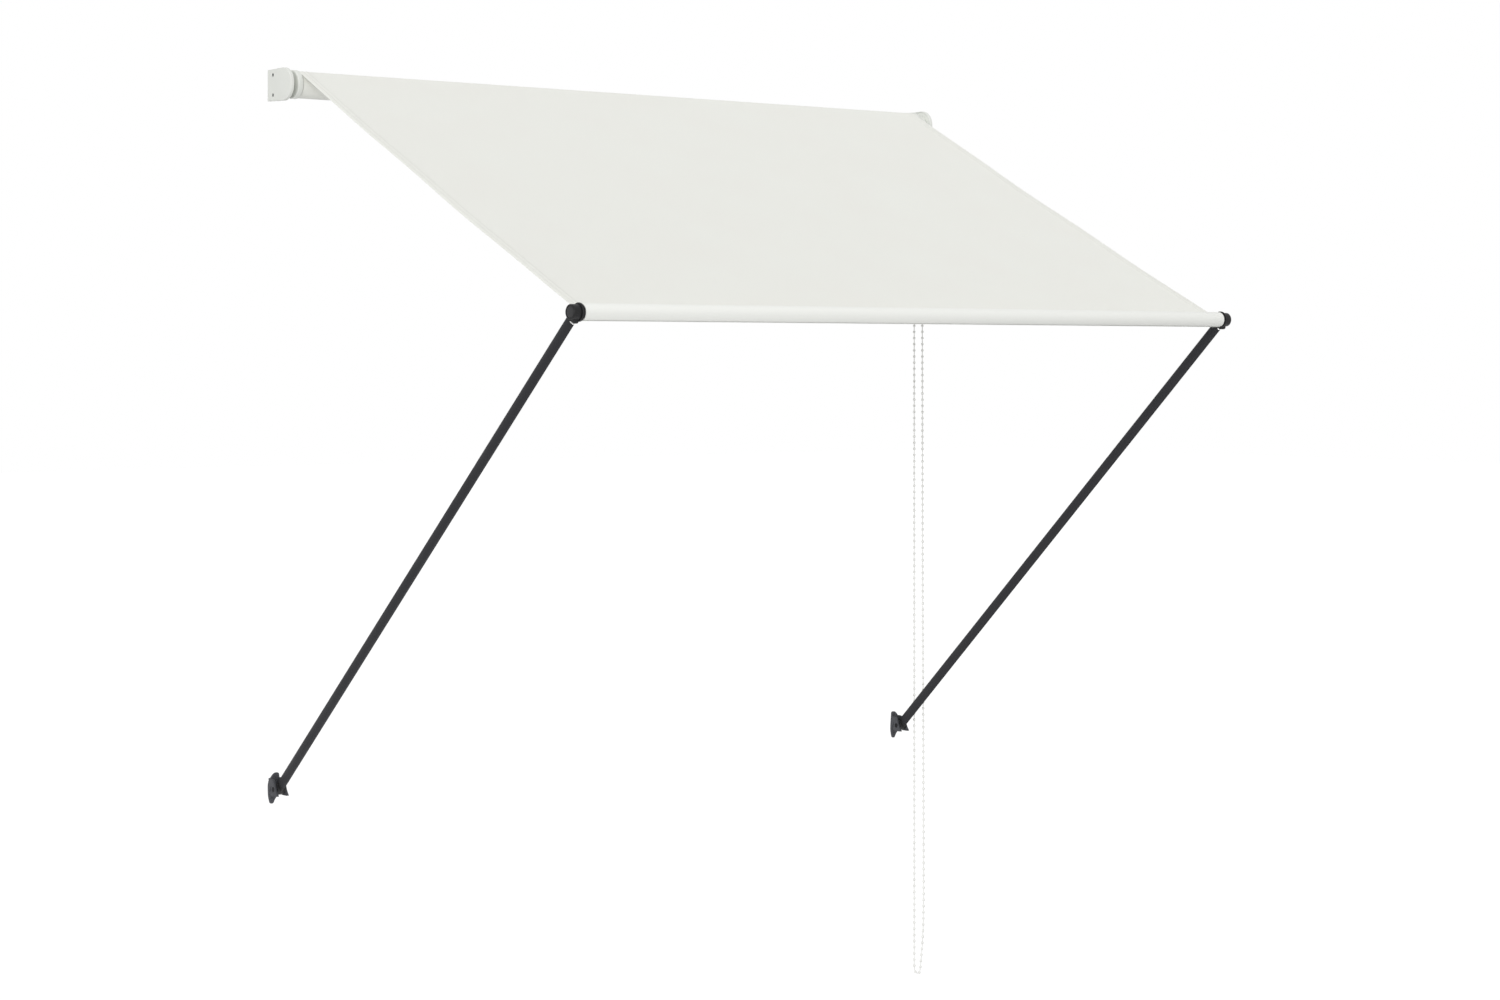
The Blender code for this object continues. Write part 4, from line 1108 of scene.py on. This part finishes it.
def canopy():
    """The let-out canvas with its doubled side hems: stretched from the bar's groove to the top of the roll,
    hanging a few millimetres under its own weight, with shallow ripples beside its hems."""
    half = cloth_width / 2
    across = [-half, -half + 0.4 * mm, -half + 4 * mm, -half + 9 * mm, -half + 14 * mm, -half + 17.2 * mm]
    across += [-half + 18.2 * mm, -half + 26 * mm, -half + 40 * mm]
    plain = cloth_width - 80 * mm
    middle = [-half + 40 * mm + plain * i / sheet_columns for i in range(1, sheet_columns)]
    across = across + middle + [-x for x in reversed(across)]
    start = groove_place + welt_radius + gap
    rows = [start + (cloth_reach - start) * i / sheet_rows for i in range(sheet_rows + 1)]
    lap_rows = [lap * i / 4 for i in range(1, 5)]
    straight = bar_place.to_3x3() @ Vector((0, 1, 0))
    up = bar_place.to_3x3() @ Vector((0, 0, 1))
    reach = rows[-1] - start
    radius = roll_radius - cloth_thickness / 2
    points, maps = {1: [], -1: []}, []
    for number in range(len(rows) + len(lap_rows)):
        row = {1: [], -1: []}
        mapped = []
        for x in across:
            thick = hem_thickness if abs(x) > half - hem_width + gap else cloth_thickness
            thick = thick - 0.04 * mm if abs(x) < half - 0.2 * mm else 0.55 * thick
            if number < len(rows):
                t = (rows[number] - start) / reach
                centre = cloth_centre_at_bar + (cloth_centre_at_roller - cloth_centre_at_bar) * t
                sag = -sheet_sag * 4 * t * (1 - t)
                edge = max(0, 1 - (half - abs(x)) / ripple_reach)
                wave = math.sin(16 * t + 1.3 * math.copysign(1, x))
                ripple = ripple_height * edge**2 * wave * math.sin(math.pi * t)
                normal = up
                spot = bar_place.translation + straight * rows[number] + up * (sag + ripple)
                along = rows[number]
            else:
                turn = leave_angle - lap_rows[number - len(rows)]
                normal = Vector((0, math.cos(turn), math.sin(turn)))
                spot = Vector((0, -roller_from_wall, 0)) + normal * radius
                centre = cloth_centre_at_roller
                along = rows[-1] + radius * lap_rows[number - len(rows)]
            spot = spot + Vector((x + centre, 0, 0))
            row[1].append(spot + normal * thick / 2)
            row[-1].append(spot - normal * thick / 2)
            mapped.append((x, along))
        for face in (1, -1):
            points[face].append(row[face])
        maps.append(mapped)
    rings, flat = [], []
    for top, under, mapped in zip(points[1], points[-1], maps):
        rings.append(top + list(reversed(under)))
        flat.append(mapped + list(reversed(mapped)))
    mesh = shell(rings, closed=False)
    layer = mesh.loops.layers.uv.new("cloth")
    mesh.verts.ensure_lookup_table()
    where = [spot for row in flat for spot in row]
    width = len(rings[0])
    for end in (0, len(rings) - 1):
        for i in range(len(across) - 1):
            a, b = end * width + i, end * width + i + 1
            c, d = end * width + width - 2 - i, end * width + width - 1 - i
            mesh.faces.new([mesh.verts[k] for k in (a, b, c, d)])
    mesh.verts.index_update()
    bmesh.ops.recalc_face_normals(mesh, faces=mesh.faces)
    for face in mesh.faces:
        for loop in face.loops:
            loop[layer].uv = where[loop.vert.index]
    made = object_of("canvas_sheet", [mesh])
    dressed(made, cloth_surface, sharp=50)
    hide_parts("canopy")
    return made, points[1], across


def stitch_tree():
    """Stitches laid end to end along curves, a gap between them, each a short thick thread."""
    numbers = ("Pitch", "Stitch length", "Thread radius")
    tree, given = growth_tree("lock_stitches", Float=numbers, Material=["Finish"])
    even = {"Curve": given["Geometry"], "Length": given["Pitch"]}
    spots = add_node(tree, "GeometryNodeResampleCurve", even, mode="LENGTH")
    ball = add_node(tree, "GeometryNodeMeshIcoSphere", {"Radius": 1.0, "Subdivisions": 1})
    half = add_node(tree, "ShaderNodeMath", {0: given["Stitch length"], 1: 0.5}, operation="MULTIPLY")
    thread = given["Thread radius"]
    size = add_node(tree, "ShaderNodeCombineXYZ", {0: thread, 1: thread, 2: half.outputs[0]})
    laid = strung(tree, spots.outputs[0], ball.outputs[0], size.outputs[0])
    smooth = add_node(tree, "GeometryNodeSetShadeSmooth", {0: laid})
    grow_end(tree, smooth.outputs[0], given["Finish"])
    return tree


sheet, top_rows, across = canopy()
seams = []
for column in (3, 5, len(across) - 4, len(across) - 6):
    seams.append([row[column] + Vector((0, 0, 0.12 * mm)) for row in top_rows])
stitches = grown(
    "hem_stitches",
    line_object("hem_lines", seams),
    stitch_tree(),
    {"Pitch": 4.2 * mm, "Stitch length": 3.4 * mm, "Thread radius": 0.28 * mm, "Finish": thread_surface},
)
dressed(stitches, None)
for cloth_piece in (sheet, stitches):
    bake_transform(cloth_piece)


# Arms
def lug_outline():
    """The lug below an arm's head in the head's own Y and Z. It hangs down when the awning is out."""
    down = math.atan2(-math.cos(arm_lean), -math.sin(arm_lean))
    reach = lug_reach - lug_half_width
    start, tip = [(away * math.cos(down), away * math.sin(down)) for away in (0.75 * head_radius, reach)]
    across = (lug_half_width * math.sin(down), -lug_half_width * math.cos(down))
    outline = [(start[0] + across[0], start[1] + across[1])]
    outline += arc(tip, lug_half_width, down - math.pi / 2, down + math.pi / 2, 16)
    return outline + [(start[0] - across[0], start[1] - across[1])]


def arm_tube(word, body, lean):
    """The tube of one arm, with the bright ring at its upper end."""
    inside = arm_tube_radius - arm_tube_wall
    ring_top = arm_length - head_neck_end - gap
    ring_low = ring_top - ring_width
    low, high = foot_neck_end + gap, ring_low - gap
    tube = [(low, inside), (low, arm_tube_radius), (high, arm_tube_radius), (high, inside)]
    meshes = [turned(tube, 0.35 * mm, lean, axis="Z", sides=64, flat=arm_flatness)]
    piece("arm_pole_" + word, meshes, arm_surface, body, ["arm_tube_" + word])
    ring = [(ring_low, inside), (ring_low, ring_radius), (ring_top, ring_radius), (ring_top, inside)]
    meshes = [turned(ring, 0.5 * mm, lean, axis="Z", sides=64, flat=arm_flatness)]
    piece("trim_ring_" + word, meshes, ring_surface, body, ["arm_ring_" + word])


# Where the black sleeve, a painted reflection, runs round the ring, in degrees; the ring shows in the rest
dark_sleeve_from_to = {left: (-40, 202), right: (-22, 220)}


def dark_reflection_sleeve(side, head_place):
    """A thin black sleeve over the bright ring, open in front, where the ring shows as a slit. It stands in
    for the dark near side of the ring's reflection: a painted reflection, made as a dark sheet.
    """
    start, end = (math.radians(angle) for angle in dark_sleeve_from_to[side])
    wall = []
    for away, turns in ((ring_radius + 0.45 * mm, (start, end)), (ring_radius + 0.05 * mm, (end, start))):
        for i in range(61):
            turn = turns[0] + (turns[1] - turns[0]) * i / 60
            wall.append(((away - arm_flatness) * math.cos(turn), away * math.sin(turn)))
    low = -head_neck_end - 2 * gap - ring_width
    return sawn([wall], low, -head_neck_end + 1 * mm, 0.1 * mm, head_place, axis="Z")


def arm_head(word, side, body, head_place):
    """The round head that turns on the bar's stub, with its neck, its lug, its black sleeve of painted
    reflection over the ring, and its cap.
    """
    bore = stub_radius + gap
    seat = cap_radius + gap
    seat_floor = head_outside - cap_thickness - gap
    well = washer_radius + gap
    profile = [
        (-head_inside, bore),
        (-head_inside, head_radius),
        (head_outside - 1.2 * mm, head_radius),
        (head_outside, head_radius - 1.2 * mm),
        (head_outside, seat),
        (seat_floor, seat),
        (seat_floor, well),
        (stub_reach + gap / 2, well),
        (stub_reach + gap / 2, bore),
    ]
    disc = turned([(side * x, r) for x, r in profile], 0.6 * mm, head_place, sides=96)
    neck_end = -head_radius + 1.5 * mm
    neck = [
        (-head_neck_end - arm_spigot_length, 0),
        (-head_neck_end - arm_spigot_length, arm_spigot_radius),
        (-head_neck_end, arm_spigot_radius),
        (-head_neck_end, arm_tube_radius - neck_step),
        (neck_end, arm_tube_radius - neck_step),
        (neck_end, 0),
    ]
    shaft = object_of("shaft", [turned(neck, 0.3 * mm, head_place, axis="Z", sides=64, flat=arm_flatness)])
    clear = bar_flange_radius + 2 * gap
    near, beyond = -side * (head_inside - 0.1 * mm), -side * 4 * head_inside
    room = [(near, 0), (near, clear), (beyond, clear), (beyond, 0)]
    combined(shaft, [turned(room, place=head_place, sides=96)], "DIFFERENCE")
    ends = sorted((-side * lug_inside, side * lug_outside))
    lug = sawn([lug_outline()], *ends, 0.6 * mm, head_place)
    whole = object_of("joint_head_with_skirt_" + word, [disc, mesh_of(shaft), lug, dark_reflection_sleeve(side, head_place)])
    piece(whole.name, whole, black_surface, body, ["arm_head_" + word])

    low = seat_floor + gap
    top = low + cap_thickness
    cap = [(low, 0), (low, cap_radius), (top - 0.5 * mm, cap_radius)]
    cap += [(top - 0.3 * mm, 0.94 * cap_radius), (top - 0.1 * mm, 0.6 * cap_radius), (top, 0)]
    meshes = [turned([(side * x, r) for x, r in cap], 0.25 * mm, head_place, sides=72)]
    piece("joint_cap_" + word, meshes, cap_surface, body, ["head_cap_" + word])


def arm_foot(word, body, lean):
    """The eye at an arm's lower end, with its neck and spigot up into the tube."""
    half = foot_width / 2 - cheek_thickness - gap
    bore = pivot_pin_radius + gap
    neck = arm_tube_radius - neck_step
    eye = [(-half, 0), (-half, foot_eye_radius), (half, foot_eye_radius), (half, 0)]
    made = object_of("foot_eye_" + word, [turned(eye, 0.5 * mm, lean, sides=64)])
    spigot_end = foot_neck_end + arm_spigot_length
    shaft = [(1 * mm, 0), (1 * mm, neck), (foot_neck_end, neck), (foot_neck_end, arm_spigot_radius)]
    shaft += [(spigot_end, arm_spigot_radius), (spigot_end, 0)]
    combined(made, [turned(shaft, 0.3 * mm, lean, axis="Z", sides=64, flat=arm_flatness)], "UNION")
    hole = [(-2 * half, 0), (-2 * half, bore), (2 * half, bore), (2 * half, 0)]
    combined(made, [turned(hole, place=lean, sides=48)], "DIFFERENCE")
    piece(made.name, made, black_surface, body, ["arm_foot_" + word])


def arm(word, side):
    """One arm, from its eye in the foot bracket to its head at the bar."""
    body = word + "_arm"
    pivot = Matrix.Translation((side * arm_spacing / 2, -pivot_from_wall, -roller_above_pivot))
    lean = pivot @ Matrix.Rotation(arm_lean, 4, "X")
    arm_tube(word, body, lean)
    arm_head(word, side, body, lean @ Matrix.Translation((0, 0, arm_length)))
    arm_foot(word, body, lean)


def foot_plate_outline(side):
    """The wall plate of a foot bracket in X and Z: its upper ear slopes outside, its lower one lies left."""
    half, tall = foot_width / 2, foot_half_height
    lower = [
        (-half, -0.2 * tall),
        (-0.95 * half, -0.55 * tall),
        (-0.7 * half, -tall),
        (-0.2 * half, -tall),
        (0.1 * half, -0.72 * tall),
        (0.5 * half, -0.52 * tall),
        (0.85 * half, -0.35 * tall),
        (half, -0.1 * tall),
    ]
    upper = [(half, 0.25 * tall), (0.85 * half, 0.55 * tall), (0, tall)]
    upper += [(-0.78 * half, tall), (-0.85 * half, 0.6 * tall)]
    if side == left:
        upper = [(-x, z) for x, z in reversed(upper)]
    return corner_cut(lower + upper, 3)


def cheek_outline():
    """A cheek of a foot bracket in Y and Z from its pivot, with a toe at its lower front corner."""
    back = pivot_from_wall - foot_plate + 1 * mm
    corners = [
        (back, cheek_top),
        (0.3 * back, cheek_top),
        (-0.35 * cheek_front, 0.75 * cheek_top),
        (-0.65 * cheek_front, 0.3 * cheek_top),
        (-1.1 * cheek_front, -0.25 * cheek_bottom),
        (-cheek_toe, -0.88 * cheek_bottom),
        (-cheek_toe, -cheek_bottom),
        (0.3 * back, -cheek_bottom),
        (0.5 * back, -0.78 * cheek_bottom),
        (0.7 * back, -cheek_bottom),
        (back, -cheek_bottom),
    ]
    return [corners[0]] + corner_cut(corners[1:-1], 3) + [corners[-1]]


def foot_bracket(word, side):
    """The wall bracket that an arm pivots in: a plate with two ears, two cheeks and two screw covers."""
    place = Matrix.Translation((side * arm_spacing / 2, -pivot_from_wall, -roller_above_pivot))
    back, front = pivot_from_wall, pivot_from_wall - foot_plate
    spots = [(-foot_screw_offset, -foot_screw_height), (-side * foot_screw_offset, foot_screw_height)]
    holes = [circle(spot, wall_screw_radius, 28) for spot in spots]
    meshes = [sawn([foot_plate_outline(side)] + holes, front, back, 0.6 * mm, place, axis="Y")]
    for across, height in spots:
        cover = [(front + 1.5 * mm, 0), (front + 1.5 * mm, 2.2 * mm), (front - 0.2 * mm, 2.2 * mm)]
        cover += [(front - 0.6 * mm, 1.4 * mm), (front - 0.7 * mm, 0)]
        standing = place @ Matrix.Translation((across, 0, height)) @ Matrix.Rotation(math.radians(90), 4, "Z")
        meshes.append(turned(cover, 0.2 * mm, standing, sides=40))
    bore = circle((0, 0), pivot_pin_radius + gap, 40)
    for spot in (left, right):
        ends = sorted((spot * (foot_width / 2 - cheek_thickness), spot * foot_width / 2))
        meshes.append(sawn([cheek_outline(), bore], *ends, 0.5 * mm, place))
    replaced = ["foot_bracket_" + word]
    piece("foot_holder_" + word, meshes, foot_surface, "wall_frame", replaced)


for word, side in both_sides:
    arm(word, side)
    foot_bracket(word, side)

# The solids that stay as they are, under their own surfaces
kept = {
    "roller_tube": tube_surface,
    "idle_pin": zinc_surface,
    "clutch_core": abs_surface,
    "clutch_spring": spring_surface,
    "welt_rod": bead_surface,
    "stub_washer_left": zinc_surface,
    "stub_washer_right": zinc_surface,
    "stub_screw_left": zinc_surface,
    "stub_screw_right": zinc_surface,
    "pivot_pin_left": blackened_surface,
    "pivot_pin_right": blackened_surface,
}
for name, finish in kept.items():
    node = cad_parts[name]
    node.data.materials.clear()
    node.data.materials.append(finish)


# Floor, background and light
def studio():
    """A pale floor and white surroundings, that show as white to the eye and in gloss, and two soft lamps."""
    bpy.context.scene.view_settings.view_transform = "Standard"
    data = bpy.data.meshes.new("studio_floor")
    reach, level = floor_reach, floor_level
    corners = [(-reach, -reach, level), (reach, -reach, level), (reach, reach, level), (-reach, reach, level)]
    data.from_pydata(corners, [], [(0, 1, 2, 3)])
    floor = in_scene("studio_floor", data)
    made = bpy.data.materials.new("matt_white_floor")
    made.use_nodes = True
    tree = made.node_tree
    tree.nodes.clear()
    matt = add_node(tree, "ShaderNodeBsdfDiffuse", {"Color": linear("C4C4C4")})
    seen = add_node(tree, "ShaderNodeMapRange", {0: seen_directly(tree), 3: 0.0, 4: floor_glow})
    glow = add_node(tree, "ShaderNodeEmission", {"Color": (1, 1, 1, 1), "Strength": seen.outputs[0]})
    both = add_node(tree, "ShaderNodeAddShader", {0: matt.outputs[0], 1: glow.outputs[0]})
    add_node(tree, "ShaderNodeOutputMaterial", {0: both.outputs[0]})
    data.materials.append(made)

    world = bpy.data.worlds.new("studio_white")
    bpy.context.scene.world = world
    world.use_nodes = True
    tree = world.node_tree
    tree.nodes.clear()
    strength = add_node(tree, "ShaderNodeMapRange", {0: seen_directly(tree), 3: sky_strength, 4: 1.0})
    sky = add_node(tree, "ShaderNodeBackground", {"Color": (1, 1, 1, 1), "Strength": strength.outputs[0]})
    add_node(tree, "ShaderNodeOutputWorld", {0: sky.outputs[0]})

    lamp = bpy.data.lights.new("front_softbox", "SUN")
    lamp.energy = lamp_strength
    lamp.angle = math.radians(50)
    holder = in_scene("front_softbox", lamp)
    holder.rotation_euler = (-Vector(lamp_from)).to_track_quat("-Z", "Y").to_euler()

    fill = bpy.data.lights.new("low_softbox", "AREA")
    fill.size = fill_size
    fill.energy = fill_power
    holder = in_scene("low_softbox", fill)
    holder.location = fill_place
    holder.rotation_euler = (Vector(fill_aim) - Vector(fill_place)).to_track_quat("-Z", "Y").to_euler()
    holder.visible_camera = False


def seen_directly(tree):
    """One where a ray comes from the eye, or by way of gloss or glass."""
    path = add_node(tree, "ShaderNodeLightPath").outputs
    seen = path["Is Camera Ray"]
    for other in ("Is Glossy Ray", "Is Transmission Ray"):
        seen = add_node(tree, "ShaderNodeMath", {0: seen, 1: path[other]}, operation="MAXIMUM").outputs[0]
    return seen


# The sky gives most of the light. One soft lamp stands in front on the left, and one lies just above the
# floor and reaches under the cloth. Where the floor is seen, its glow lifts it to white, and a shadow on it
# stays below white
floor_reach = 40
floor_level = -2.3
sky_strength = 0.79
lamp_strength = 2.1
fill_place = (-0.8, -0.5, -2.2)
fill_aim = (-0.5, 0, -0.1)
fill_size = 1.2
fill_power = 11
lamp_from = (-0.72, -0.69, 0.05)
floor_glow = 0.58
studio()
